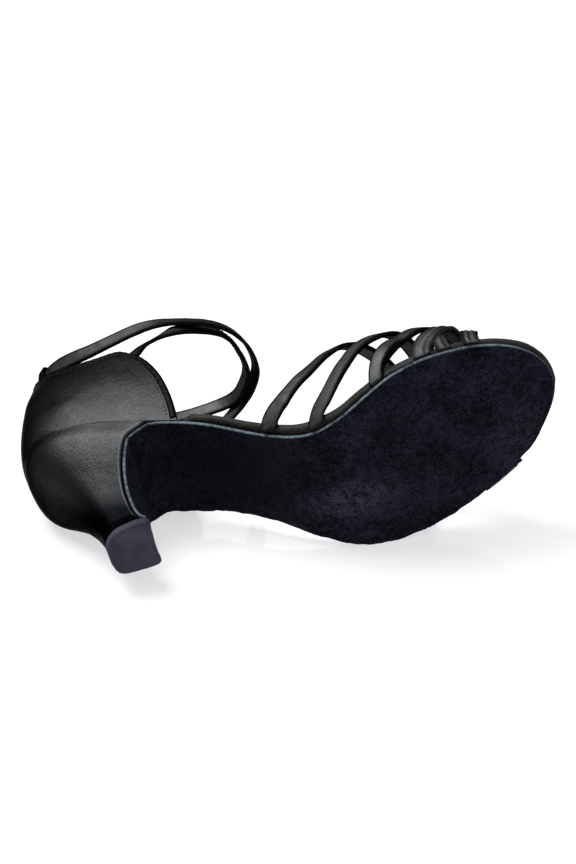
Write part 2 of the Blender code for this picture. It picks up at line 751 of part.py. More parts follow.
def build_buckle(material):
    """Small rectangular buckle frame with its prong, on the strap's outer end."""
    here, run, out, across = ankle_frame(BUCKLE_PLACE)
    centre = here + out * (ANKLE_THICKNESS / 2 + 2 * FIT_GAP + BUCKLE_WIRE / 2)
    rings = []
    for step in range(24):
        angle = 2 * math.pi * step / 24
        u = math.copysign(abs(math.cos(angle)) ** 0.45, math.cos(angle))
        v = math.copysign(abs(math.sin(angle)) ** 0.45, math.sin(angle))
        spoke = (run * u + across * v).normalized()
        middle = centre + run * (u * (BUCKLE_LENGTH - BUCKLE_WIRE) / 2)
        middle += across * (v * (BUCKLE_HEIGHT - BUCKLE_WIRE) / 2)
        rings.append([middle + (spoke * math.cos(math.pi * k / 4)
                                + out * math.sin(math.pi * k / 4)) * (BUCKLE_WIRE / 2)
                      for k in range(8)])
    frame = loft("buckle", rings, material, closed=True)
    rings = []
    thin = BUCKLE_WIRE * 0.36
    for i in range(9):
        middle = centre + run * ((i / 8 - 0.5) * BUCKLE_LENGTH)
        middle += out * (BUCKLE_WIRE / 2 + FIT_GAP + thin)
        rings.append([middle + (across * math.cos(math.pi * k / 4)
                                + out * math.sin(math.pi * k / 4)) * thin for k in range(8)])
    prong = loft("buckle_prong", rings, material)
    return frame, prong


def make_material(name):
    """Plain material of one colour."""
    material = bpy.data.materials.new(name)
    material.use_nodes = True
    shader = material.node_tree.nodes["Principled BSDF"]
    shader.inputs["Base Color"].default_value = COLOURS[name.split(".")[0]]
    shader.inputs["Roughness"].default_value = 0.3 if name.startswith("metal") else 0.7
    shader.inputs["Metallic"].default_value = 1.0 if name.startswith("metal") else 0.0
    return material


def mass_centre(items):
    """Centre of mass of all solids."""
    total = 0.0
    centre = Vector((0, 0, 0))
    for item in items:
        shape = bmesh.new()
        shape.from_mesh(item.data)
        bmesh.ops.triangulate(shape, faces=shape.faces)
        for face in shape.faces:
            a, b, c = (v.co for v in face.verts)
            part = a.dot(b.cross(c)) / 6 * DENSITY[item.name]
            total += part
            centre += (a + b + c) * (part / 4)
        shape.free()
    return centre / total


def resting_turn(items):
    """Turn that lays the shoe on its outer side, on the hull face where it lies still."""
    centre = mass_centre(items)
    hull = bmesh.new()
    for item in items:
        for vertex in item.data.vertices:
            hull.verts.new(vertex.co)
    found = bmesh.ops.convex_hull(hull, input=hull.verts, use_existing_faces=False)
    faces = [face for face in found["geom"] if isinstance(face, bmesh.types.BMFace)]
    planes = []
    for face in faces:
        face.normal_update()
        normal = face.normal.copy()
        depth = (face.verts[0].co - centre).dot(normal)
        if depth < 0:
            normal = -normal
            depth = -depth
        planes.append((normal, depth))
    hull.free()
    down = Vector((0, 1, 0))
    for _ in range(60):
        reached = [(depth / normal.dot(down), normal) for normal, depth in planes
                   if normal.dot(down) > 1e-6]
        nearest = min(reached, key=lambda entry: entry[0])[1]
        if (nearest - down).length < 1e-6:
            break
        down = nearest
    level = down.rotation_difference(Vector((0, 0, -1))).to_matrix()
    toe = level @ Vector((1, 0, 0))
    turn = Matrix.Rotation(-math.atan2(toe.y, toe.x), 3, "Z")
    return (turn @ level).to_4x4()


def lay_down(items):
    """Lay the shoe on its outer side, with its underside box centre on the origin."""
    turn = resting_turn(items)
    for item in items:
        item.data.transform(turn)
    points = [vertex.co for item in items for vertex in item.data.vertices]
    low = Vector(min(p[i] for p in points) for i in range(3))
    high = Vector(max(p[i] for p in points) for i in range(3))
    move = Matrix.Translation((-(low.x + high.x) / 2, -(low.y + high.y) / 2, -low.z))
    for item in items:
        item.data.transform(move)
        item.data.update()


def main():
    """Build every piece of the shoe."""
    for item in list(bpy.data.objects):
        bpy.data.objects.remove(item, do_unlink=True)
    board_base = TREAD_THICKNESS + FIT_GAP
    sock_base = board_base + BOARD_THICKNESS + FIT_GAP
    frame, prong = build_buckle(make_material("metal"))
    items = [
        build_outsole(make_material("suede")),
        footbed_slab("insole_board", board_base, BOARD_THICKNESS, 0.0,
                     make_material("satin.board")),
        footbed_slab("insole", sock_base, SOCK_THICKNESS, SOCK_MARGIN,
                     make_material("sock")),
        build_heel(make_material("satin.heel")),
        build_tip(make_material("tip")),
        build_quarter(make_material("satin.quarter")),
        build_back_loop(make_material("satin.loop")),
        build_vamp(make_material("satin.vamp")),
        build_ankle_strap(make_material("satin.ankle")),
        frame,
        prong,
    ]
    lay_down(items)


main()
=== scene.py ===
"""Looks of a ballroom dance sandal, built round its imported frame.

The sandal lies on its outer side with the sole towards the camera. Every piece is shaped in
the shoe's own standing frame, with X from the seat's back to the toe, Y to the outer side
and Z up from the tread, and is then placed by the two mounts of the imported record.
"""

import json
import logging
import math
from dataclasses import dataclass, field
from enum import Enum
from typing import Any, Callable, Sequence

import bmesh
import bpy
from mathutils import Matrix, Vector, noise


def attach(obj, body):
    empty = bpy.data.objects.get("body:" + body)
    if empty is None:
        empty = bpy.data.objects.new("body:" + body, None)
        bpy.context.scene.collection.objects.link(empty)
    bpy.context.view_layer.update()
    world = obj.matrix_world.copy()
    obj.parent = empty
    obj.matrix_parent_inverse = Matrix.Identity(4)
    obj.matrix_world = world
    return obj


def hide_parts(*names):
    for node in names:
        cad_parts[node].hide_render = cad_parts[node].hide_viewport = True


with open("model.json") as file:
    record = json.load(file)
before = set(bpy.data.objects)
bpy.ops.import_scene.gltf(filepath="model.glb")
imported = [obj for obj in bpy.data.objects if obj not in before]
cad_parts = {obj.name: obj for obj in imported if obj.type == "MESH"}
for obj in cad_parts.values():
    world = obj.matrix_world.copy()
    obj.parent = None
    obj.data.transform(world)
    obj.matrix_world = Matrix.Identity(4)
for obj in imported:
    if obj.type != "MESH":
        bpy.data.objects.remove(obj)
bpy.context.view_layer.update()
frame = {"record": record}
LOG = logging.getLogger("sandal")
Ring = list[Vector]

# Named sizes, in metres
SOLE_LENGTH = 0.228
BALL_WIDTH = 0.087
SEAT_RISE = 0.073
TREAD_THICKNESS = 0.0016
BOARD_THICKNESS = 0.0036
SOCK_THICKNESS = 0.0024
SOCK_MARGIN = 0.0012
FIT_GAP = 0.0003
TIP_HEIGHT = 0.0040
TIP_ROUND = 0.0005
QUARTER_RISE = 0.060
QUARTER_WALL = 0.0020
INSTEP_RISE = 0.068
STRAP_WIDTH = 0.0062
STRAP_THICKNESS = 0.0020
ANKLE_WIDTH = 0.0074
ANKLE_THICKNESS = 0.0018
STRAP_FOOT = 0.45
ARCH_POWER = 0.667
HEEL_POWER = 1.15
WAIST_START = 0.305
TOE_START = 0.900

# Width of the suede on the heel breast, as shares of the heel, at its foot and at the seat
BREAST_FOOT = 0.90
BREAST_SEAT = 0.98

# Half length, half width and half height of a stitch
STITCH_HALVES = (0.00085, 0.00028, 0.00022)

# Steps to both sides that give a direction: shares of a curve, and a distance along the sole
EDGE_STEP = 0.002
WALL_STEP = 0.004
TURN_STEP = 0.01
ALONG_STEP = SOLE_LENGTH / 200

# Where the record's two flat faces lie on the standing shoe
FACE_SPOTS = {"tread": (0.160, 0.0, 0.0), "top_piece": (0.036, 0.0, 0.0)}

# Sole outline: along is a share of the sole's length, inner and outer of the ball width
PLAN_COLUMNS = ("along", "inner", "outer")
PLAN = (
    (0.000, -0.005, 0.020),
    (0.003, 0.055, 0.112),
    (0.013, 0.125, 0.198),
    (0.035, 0.195, 0.260),
    (0.070, 0.247, 0.286),
    (0.114, 0.274, 0.293),
    (0.167, 0.286, 0.297),
    (0.241, 0.284, 0.298),
    (0.307, 0.279, 0.293),
    (0.373, 0.262, 0.290),
    (0.439, 0.239, 0.308),
    (0.504, 0.245, 0.375),
    (0.570, 0.310, 0.452),
    (0.632, 0.407, 0.488),
    (0.697, 0.484, 0.486),
    (0.768, 0.511, 0.446),
    (0.833, 0.498, 0.378),
    (0.895, 0.452, 0.293),
    (0.950, 0.365, 0.183),
    (0.982, 0.270, 0.062),
    (0.996, 0.192, -0.030),
    (1.000, 0.135, -0.110),
)

# Height of the sole's underside: a share of the seat's rise
PROFILE_COLUMNS = ("along", "rise")
PROFILE = (
    (0.000, 1.000),
    (0.044, 0.977),
    (0.096, 0.920),
    (0.162, 0.836),
    (0.219, 0.742),
    (0.285, 0.633),
    (0.351, 0.514),
    (0.417, 0.345),
    (0.482, 0.159),
    (0.548, 0.038),
    (0.614, 0.000),
    (0.790, 0.000),
    (0.900, 0.010),
    (1.000, 0.040),
)

# How far the board stands out past the outline, and how far its edges curl up, as shares
# of its thickness
BOARD_COLUMNS = ("along", "inner_out", "outer_out", "inner_lift", "outer_lift")
BOARD = (
    (0.000, -0.78, -0.78, 0.00, 0.00),
    (0.320, -0.78, -0.78, 0.00, 0.00),
    (0.342, 0.33, 0.22, 0.33, 0.17),
    (0.439, 0.56, 0.33, 0.61, 0.28),
    (0.520, 0.50, 0.28, 0.67, 0.22),
    (0.600, 0.11, -0.06, 0.39, 0.11),
    (0.720, -0.11, -0.11, 0.17, 0.06),
    (0.820, -0.06, 0.11, 0.06, 0.06),
    (0.890, 0.14, 0.28, 0.06, 0.06),
    (0.950, 0.42, 0.50, 0.06, 0.06),
    (1.000, 0.61, 0.61, 0.06, 0.06),
)

# Heel sections from the tip to the seat: shares of the sole's length and ball width
HEEL_COLUMNS = ("level", "back", "front", "inner", "outer")
HEEL = (
    (0.00, 0.1080, 0.1900, 0.120, 0.152),
    (0.10, 0.1060, 0.1780, 0.108, 0.130),
    (0.23, 0.0980, 0.1740, 0.110, 0.130),
    (0.40, 0.0800, 0.1725, 0.130, 0.152),
    (0.57, 0.0520, 0.1770, 0.168, 0.200),
    (0.72, 0.0220, 0.1860, 0.212, 0.246),
    (0.84, 0.0060, 0.1980, 0.248, 0.278),
    (0.92, 0.0010, 0.2105, 0.270, 0.292),
    (1.00, 0.0000, 0.2520, 0.284, 0.298),
)

# Where the suede bends from the heel breast into the waist: along, how far it hangs under
# the board and how much narrower it is than the outline, as shares of its thickness
BREAST_BEND = (
    (0.2390, 2.00, 0.88),
    (0.2560, 0.38, 0.31),
    (0.2760, 0.06, 0.06),
)

# Levels of the heel from its tip to the seat, at which the suede on its breast is set
HEEL_LEVELS = (0.0, 0.07, 0.16, 0.27, 0.38, 0.48, 0.58, 0.67, 0.75, 0.82, 0.88, 0.92, 0.96, 1.0)

# Sections of the top piece from the heel down to its worn underside: height and inset
TIP_SECTIONS = (
    (0.0, 0.0030),
    (0.0, 0.0014),
    (0.00008, 0.00065),
    (0.0003, 0.00022),
    (TIP_ROUND, 0.00005),
    (0.0012, 0.0),
    (0.0022, 0.0),
    (0.0031, 0.0),
    (TIP_HEIGHT - 0.00035, 0.00004),
    (TIP_HEIGHT - 0.0001, 0.00025),
    (TIP_HEIGHT, 0.0006),
    (TIP_HEIGHT, 0.0016),
)

# Quarter stations from the inner front corner round the back to the outer front corner:
# the seat point, the belly point that bows the wall, and the topline point.
# Along is a share of the sole's length, side of the ball width (outer side positive),
# up a share of the quarter's rise above the seat's back.
QUARTER_COLUMNS = ("seat_along", "seat_side", "belly_along", "belly_side", "belly_up",
                   "top_along", "top_side", "top_up")
QUARTER = (
    (0.310, -0.279, 0.331, -0.372, 0.12, 0.276, -0.330, 0.533),
    (0.270, -0.282, 0.280, -0.370, 0.16, 0.250, -0.332, 0.598),
    (0.220, -0.285, 0.215, -0.365, 0.21, 0.205, -0.318, 0.632),
    (0.167, -0.286, 0.155, -0.355, 0.26, 0.158, -0.288, 0.708),
    (0.110, -0.271, 0.090, -0.328, 0.30, 0.115, -0.240, 0.830),
    (0.055, -0.228, 0.028, -0.262, 0.33, 0.080, -0.168, 0.928),
    (0.018, -0.142, 0.004, -0.158, 0.34, 0.064, -0.085, 0.962),
    (0.000, 0.008, -0.010, 0.014, 0.34, 0.061, 0.000, 0.967),
    (0.016, 0.212, -0.006, 0.228, 0.28, 0.064, 0.085, 0.962),
    (0.055, 0.278, 0.026, 0.318, 0.28, 0.082, 0.172, 0.928),
    (0.110, 0.292, 0.088, 0.362, 0.27, 0.115, 0.250, 0.830),
    (0.167, 0.294, 0.155, 0.382, 0.26, 0.158, 0.300, 0.708),
    (0.220, 0.298, 0.215, 0.384, 0.21, 0.205, 0.332, 0.632),
    (0.270, 0.296, 0.280, 0.384, 0.16, 0.250, 0.348, 0.595),
    (0.310, 0.293, 0.331, 0.384, 0.12, 0.276, 0.346, 0.530),
)

# Arch that the vamp straps follow: ridge is a share of the instep's rise over the tread.
# How far its feet stand past the outline and how far its flanks bow are shares of a strap's
# thickness.
ARCH_COLUMNS = ("along", "ridge", "inner_spread", "outer_spread", "inner_bulge", "outer_bulge")
ARCH = (
    (0.430, 1.120, 1.45, 1.05, 1.00, 2.00),
    (0.480, 1.060, 1.40, 1.05, 1.30, 1.75),
    (0.540, 1.010, 1.30, 0.85, 1.30, 1.00),
    (0.600, 0.985, 0.70, 0.35, 0.75, 0.50),
    (0.650, 0.930, 0.40, 0.35, 0.25, 0.15),
    (0.693, 0.825, 0.30, 0.38, 0.00, 0.00),
    (0.750, 0.680, 0.35, 0.50, 0.00, 0.00),
    (0.790, 0.575, 0.40, 0.64, 0.00, 0.00),
    (0.820, 0.494, 0.45, 0.78, 0.00, 0.00),
    (0.868, 0.368, 0.65, 0.95, 0.00, 0.00),
    (0.908, 0.325, 0.90, 1.10, 0.00, 0.00),
    (1.000, 0.250, 1.60, 1.60, 0.00, 0.00),
)

# Vamp straps: places along the sole at set turns over the arch from the inner to the
# outer foot, the lift off the arch as a share of the strap thickness and the width as a share
# of the strap width
STRAP_TURNS = (0.0, 0.10, 0.25, 0.50, 0.75, 0.90, 1.0)
STRAP_COLUMNS = ("inner_foot", "inner_low", "inner_side", "crown", "outer_side", "outer_low",
                 "outer_foot", "lift", "wide")
STRAPS = (
    (0.463, 0.524, 0.652, 0.756, 0.818, 0.842, 0.852, 0.00, 1.25),
    (0.545, 0.650, 0.748, 0.806, 0.842, 0.860, 0.868, 0.00, 1.25),
    (0.664, 0.756, 0.814, 0.861, 0.880, 0.887, 0.890, 0.00, 1.15),
    (0.755, 0.807, 0.842, 0.874, 0.889, 0.895, 0.900, 0.00, 1.35),
    (0.797, 0.805, 0.808, 0.788, 0.737, 0.697, 0.670, -0.60, 1.05),
    (0.850, 0.862, 0.868, 0.845, 0.780, 0.735, 0.710, -0.60, 1.20),
)

# Ankle strap, wound twice round the ankle: along is a share of the sole's length, side of
# the ball width (outer side positive) and up of the quarter's rise above the seat's back
ANKLE = (
    (0.232, -0.262, 0.520),
    (0.266, -0.276, 0.555),
    (0.300, -0.318, 0.565),
    (0.321, -0.354, 0.535),
    (0.346, -0.386, 0.495),
    (0.371, -0.398, 0.483),
    (0.399, -0.370, 0.520),
    (0.430, -0.318, 0.575),
    (0.465, -0.257, 0.613),
    (0.489, -0.166, 0.642),
    (0.501, -0.060, 0.663),
    (0.509, 0.046, 0.700),
    (0.504, 0.126, 0.733),
    (0.489, 0.207, 0.775),
    (0.477, 0.271, 0.825),
    (0.451, 0.322, 0.892),
    (0.404, 0.349, 0.942),
    (0.351, 0.352, 0.967),
    (0.289, 0.328, 0.980),
    (0.228, 0.287, 0.992),
    (0.167, 0.218, 1.013),
    (0.120, 0.121, 1.028),
    (0.089, 0.023, 1.034),
    (0.080, -0.046, 1.034),
    (0.088, -0.121, 1.020),
    (0.112, -0.201, 0.958),
    (0.146, -0.256, 0.884),
    (0.188, -0.304, 0.798),
    (0.241, -0.354, 0.725),
    (0.290, -0.394, 0.682),
    (0.334, -0.417, 0.636),
    (0.375, -0.417, 0.578),
    (0.414, -0.390, 0.556),
    (0.461, -0.333, 0.553),
    (0.496, -0.240, 0.567),
    (0.519, -0.115, 0.612),
    (0.528, 0.017, 0.667),
    (0.526, 0.103, 0.705),
    (0.512, 0.207, 0.758),
    (0.490, 0.293, 0.797),
    (0.462, 0.356, 0.800),
    (0.431, 0.392, 0.758),
    (0.395, 0.408, 0.687),
    (0.360, 0.410, 0.600),
    (0.325, 0.399, 0.517),
    (0.290, 0.388, 0.443),
    (0.255, 0.382, 0.390),
)

# Tilt of the ankle strap's face in degrees, at shares of the strap's length
TILT_COLUMNS = ("place", "tilt")
TILT = (
    (0.000, -8),
    (0.535, -8),
    (0.575, 12),
    (0.635, 12),
    (0.690, -8),
    (1.000, -8),
)

# Axis that the strap winds round, and the tab that holds it at the back
ANKLE_AXIS = 0.272
LOOP_PLACE = 0.530
LOOP_WIDTH = 0.0052
LOOP_BAND = 0.0010
LOOP_SLACK = 0.0007

# Buckle near the strap's outer end: its place along the strap and its sizes
BUCKLE_PLACE = 0.965
BUCKLE_LENGTH = 0.0120
BUCKLE_HEIGHT = 0.0105
BUCKLE_WIRE = 0.0016

class Table:
    """Rows with named columns, read by smooth steps between the rows."""

    def __init__(self, columns: Sequence[str], rows: Sequence[Sequence[float]]) -> None:
        """Keep the rows and the place of each column.

        Args:
            columns: Name of each column, the first being the key.
            rows: One row of numbers for each key, in rising order of key.
        """
        self.columns = {name: index for index, name in enumerate(columns)}
        self.rows = rows

    def read(self, name: str, place: float) -> float:
        """Read a column by a curve that never overshoots its rows.

        Args:
            name: The column's name.
            place: Place along the first column.

        Returns:
            The column's value there.
        """
        column = self.columns[name]
        keys = [row[0] for row in self.rows]
        values = [row[column] for row in self.rows]
        if place <= keys[0]:
            return values[0]
        if place >= keys[-1]:
            return values[-1]
        index = max(i for i, key in enumerate(keys) if key <= place)
        span = keys[index + 1] - keys[index]
        before, after = (self.slope(keys, values, i) for i in (index, index + 1))
        t = (place - keys[index]) / span
        return (values[index] * (1 + 2 * t) * (1 - t) ** 2 + before * span * t * (1 - t) ** 2
                + values[index + 1] * t * t * (3 - 2 * t) + after * span * t * t * (t - 1))

    @staticmethod
    def slope(keys: Sequence[float], values: Sequence[float], index: int) -> float:
        """Find the slope at a row.

        Args:
            keys: The rows' keys.
            values: The rows' values.
            index: The row.

        Returns:
            Slope that is zero at a turning point and harmonic elsewhere.
        """
        if index in (0, len(keys) - 1):
            near = max(index, 1)
            return (values[near] - values[near - 1]) / (keys[near] - keys[near - 1])
        before = (values[index] - values[index - 1]) / (keys[index] - keys[index - 1])
        after = (values[index + 1] - values[index]) / (keys[index + 1] - keys[index])
        return 0.0 if before * after <= 0 else 2 * before * after / (before + after)


PLAN_TABLE = Table(PLAN_COLUMNS, PLAN)
PROFILE_TABLE = Table(PROFILE_COLUMNS, PROFILE)
BOARD_TABLE = Table(BOARD_COLUMNS, BOARD)
HEEL_TABLE = Table(HEEL_COLUMNS, HEEL)
ARCH_TABLE = Table(ARCH_COLUMNS, ARCH)
TILT_TABLE = Table(TILT_COLUMNS, TILT)


def flow(points: Sequence[Vector], place: float) -> Vector:
    """Follow a smooth curve through points.

    Args:
        points: Points that the curve passes through.
        place: From 0 at the first point to 1 at the last.

    Returns:
        The point at that place.
    """
    spans = len(points) - 1
    scaled = min(max(place, 0.0), 1.0) * spans
    index = min(int(scaled), spans - 1)
    t = scaled - index
    p1, p2 = points[index], points[index + 1]
    p0 = points[index - 1] if index > 0 else p1 * 2 - p2
    p3 = points[index + 2] if index + 2 <= spans else p2 * 2 - p1
    return ((p1 * 2) + (p2 - p0) * t + (p0 * 2 - p1 * 5 + p2 * 4 - p3) * t * t
            + (p1 * 3 - p0 - p2 * 3 + p3) * t ** 3) * 0.5


def soft_flow(points: Sequence[Vector], place: float, reach: float) -> Vector:
    """Follow the curve through points with its tight bends rounded off.

    Args:
        points: Points that the plain curve passes through.
        place: From 0 at the first point to 1 at the last.
        reach: How far to each side the rounding reaches, as a share of the curve.

    Returns:
        The point at that place.
    """
    reach = max(min(reach, place, 1 - place), 0.0)
    sides = flow(points, place - reach) + flow(points, place + reach)
    return (flow(points, place) * 2 + sides) * 0.25


def bump_at(distance: float, width: float) -> float:
    """Soft hill of height 1 at distance 0 that has faded out at the given width."""
    share = min(abs(distance) / width, 1.0)
    return (1 - share * share) ** 2


def wander(place: Vector, size: float, fine: float = 0.0) -> float:
    """Smooth unevenness of about -1 to 1.

    Args:
        place: Where it is read.
        size: Size of its lumps, in metres.
        fine: Size of a second layer with half the strength, or 0 for none.

    Returns:
        The height.
    """
    coarse = noise.noise(place / size)
    return coarse + 0.5 * noise.noise(place / fine) if fine else coarse


def spaced(count: int, easing: float) -> list[float]:
    """Places from 0 to 1 that an easing of up to 1 packs closer at both ends."""
    shares = [i / count for i in range(count + 1)]
    return [share * (1 - easing) + easing * (0.5 - 0.5 * math.cos(math.pi * share))
            for share in shares]


def squircle(angle: float, power: float) -> tuple[float, float]:
    """Point of a rounded square at an angle, squarer for a lower power."""
    across, up = math.cos(angle), math.sin(angle)
    return math.copysign(abs(across) ** power, across), math.copysign(abs(up) ** power, up)


def level_way(way: Vector) -> Vector:
    """Direction of a vector over the ground of the standing shoe."""
    return Vector((way.x, way.y, 0)).normalized()


class ShoeFrame:
    """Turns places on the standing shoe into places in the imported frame."""

    def __init__(self, record: dict[str, Any]) -> None:
        """Fit the standing frame to the record's mounts.

        Args:
            record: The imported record, whose two flat faces fix the turn.
        """
        mounts = {mount["name"]: mount for mount in record["mounts"]}
        tread, top = (Vector(mounts[name]["pos_m"]) for name in ("tread", "top_piece"))
        up = -Vector(mounts["tread"]["axis"]).normalized()
        along = (tread - top) - up * (tread - top).dot(up)
        forward = along.normalized()
        self.turn = Matrix((forward, up.cross(forward), up)).transposed()
        self.offset = tread - self.turn @ Vector(FACE_SPOTS["tread"])

    def place(self, point: Vector) -> Vector:
        """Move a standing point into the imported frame."""
        return self.turn @ point + self.offset

    def turned(self, direction: Vector) -> Vector:
        """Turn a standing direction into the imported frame."""
        return self.turn @ direction


SHOE = ShoeFrame(frame["record"])


class Last:
    """Form of the shoe on which every piece is laid."""

    @staticmethod
    def underside(x: float) -> float:
        """Height of the sole's underside at a distance from the seat's back."""
        return SEAT_RISE * PROFILE_TABLE.read("rise", x / SOLE_LENGTH)

    @staticmethod
    def edge(along: float, side: int, out: float) -> Vector:
        """Find a point of the sole's outline.

        Args:
            along: Share of the sole's length.
            side: -1 for the inner edge, 1 for the outer.
            out: Distance to move outwards, in metres.

        Returns:
            The point, at height 0.
        """
        name = "inner" if side < 0 else "outer"

        def spot(value: float) -> Vector:
            value = min(max(value, 0.0), 1.0)
            return Vector((value * SOLE_LENGTH, side * BALL_WIDTH * PLAN_TABLE.read(name, value)))

        tangent = spot(along + EDGE_STEP) - spot(along - EDGE_STEP)
        normal = Vector((-tangent.y, tangent.x)).normalized() * side
        return (spot(along) + normal * out).to_3d()

    @classmethod
    def heel(cls, level: float, turn: float) -> Vector:
        """Find a point on the heel's side.

        Args:
            level: 0 at the top piece, 1 at the seat.
            turn: 0 at the inner breast corner, 1 at the outer, round the back.

        Returns:
            The point.
        """
        breast = HEEL_TABLE.read("front", 1.0)
        side = -1 if turn < 0.5 else 1
        share = abs(turn - 0.5) * 2
        along = breast * (1 - math.cos(math.pi * share / 2)) ** HEEL_POWER
        rim = cls.edge(along, side, 0.0)
        back = HEEL_TABLE.read("back", level) * SOLE_LENGTH
        front = HEEL_TABLE.read("front", level) * SOLE_LENGTH
        name = "inner" if side < 0 else "outer"
        wide = HEEL_TABLE.read(name, level) / HEEL_TABLE.read(name, 1.0)
        low = TIP_HEIGHT + FIT_GAP
        top = cls.underside(rim.x) + TREAD_THICKNESS
        return Vector((back + (front - back) * along / breast, rim.y * wide, low + (top - low) * level))

    @classmethod
    def quarter(cls, turn: float, level: float) -> Vector:
        """Find a point on the outside of the closed back.

        Args:
            turn: 0 at the inner front corner, 1 at the outer, round the heel.
            level: 0 at the seat, 1 at the topline.

        Returns:
            The point.
        """
        rows = [dict(zip(QUARTER_COLUMNS, row)) for row in QUARTER]
        lift = TREAD_THICKNESS + FIT_GAP

        def spot(row: dict[str, float], word: str, up: float) -> Vector:
            return Vector((row[word + "_along"] * SOLE_LENGTH, row[word + "_side"] * BALL_WIDTH, up))

        seat = flow([spot(r, "seat", cls.underside(r["seat_along"] * SOLE_LENGTH) + lift)
                     for r in rows], turn)
        belly = flow([spot(r, "belly", SEAT_RISE + r["belly_up"] * QUARTER_RISE) for r in rows], turn)
        top = flow([spot(r, "top", SEAT_RISE + r["top_up"] * QUARTER_RISE) for r in rows], turn)
        return seat * (1 - level) ** 2 + belly * 2 * level * (1 - level) + top * level ** 2

    @classmethod
    def quarter_out(cls, turn: float, level: float) -> Vector:
        """Direction straight out of the closed back's wall."""
        behind, ahead = max(turn - WALL_STEP, 0), min(turn + WALL_STEP, 1)
        low, high = max(level - WALL_STEP, 0), min(level + WALL_STEP, 1)
        around = cls.quarter(ahead, level) - cls.quarter(behind, level)
        upward = cls.quarter(turn, high) - cls.quarter(turn, low)
        return upward.cross(around).normalized()

    @classmethod
    def arch(cls, x: float, turn: float, lift: float) -> Vector:
        """Find a point over the foot.

        Args:
            x: Distance from the seat's back.
            turn: 0 at the inner foot of the arch, 1 at the outer.
            lift: Height off the arch, in metres.

        Returns:
            The point.
        """
        along = x / SOLE_LENGTH
        inner = cls.edge(along, -1, ARCH_TABLE.read("inner_spread", along) * STRAP_THICKNESS)
        outer = cls.edge(along, 1, ARCH_TABLE.read("outer_spread", along) * STRAP_THICKNESS)
        base = cls.underside(x) + TREAD_THICKNESS + FIT_GAP
        ridge = INSTEP_RISE * ARCH_TABLE.read("ridge", along) - base
        angle = math.pi * turn
        across, height = squircle(math.pi - angle, ARCH_POWER)
        place = (inner + outer) / 2 + (outer - inner) / 2 * across
        word = "inner_bulge" if turn < 0.5 else "outer_bulge"
        bow = ARCH_TABLE.read(word, along) * STRAP_THICKNESS * abs(math.sin(2 * angle))
        bow = -bow if turn < 0.5 else bow
        out = Vector((0, across, height)).normalized() * lift
        return Vector((place.x, place.y + bow, base + ridge * height)) + out

    @staticmethod
    def ankle(place: float) -> Vector:
        """Point on the ankle strap's middle line, from its inner end to its outer."""
        points = [Vector((along * SOLE_LENGTH, side * BALL_WIDTH, SEAT_RISE + up * QUARTER_RISE))
                  for along, side, up in ANKLE]
        return soft_flow(points, place, 0.012)

    @classmethod
    def ankle_axes(cls, place: float) -> tuple[Vector, Vector, Vector, Vector]:
        """Middle point of the ankle strap with its run, outward and across directions."""
        here = cls.ankle(place)
        run = (cls.ankle(place + EDGE_STEP) - cls.ankle(place - EDGE_STEP)).normalized()
        out = Vector((here.x - ANKLE_AXIS * SOLE_LENGTH, here.y, 0))
        out = (out - run * out.dot(run)).normalized()
        across = run.cross(out).normalized()
        angle = math.radians(TILT_TABLE.read("tilt", place))
        tilted = out * math.cos(angle) + across * math.sin(angle)
        return here, run, tilted, run.cross(tilted).normalized()


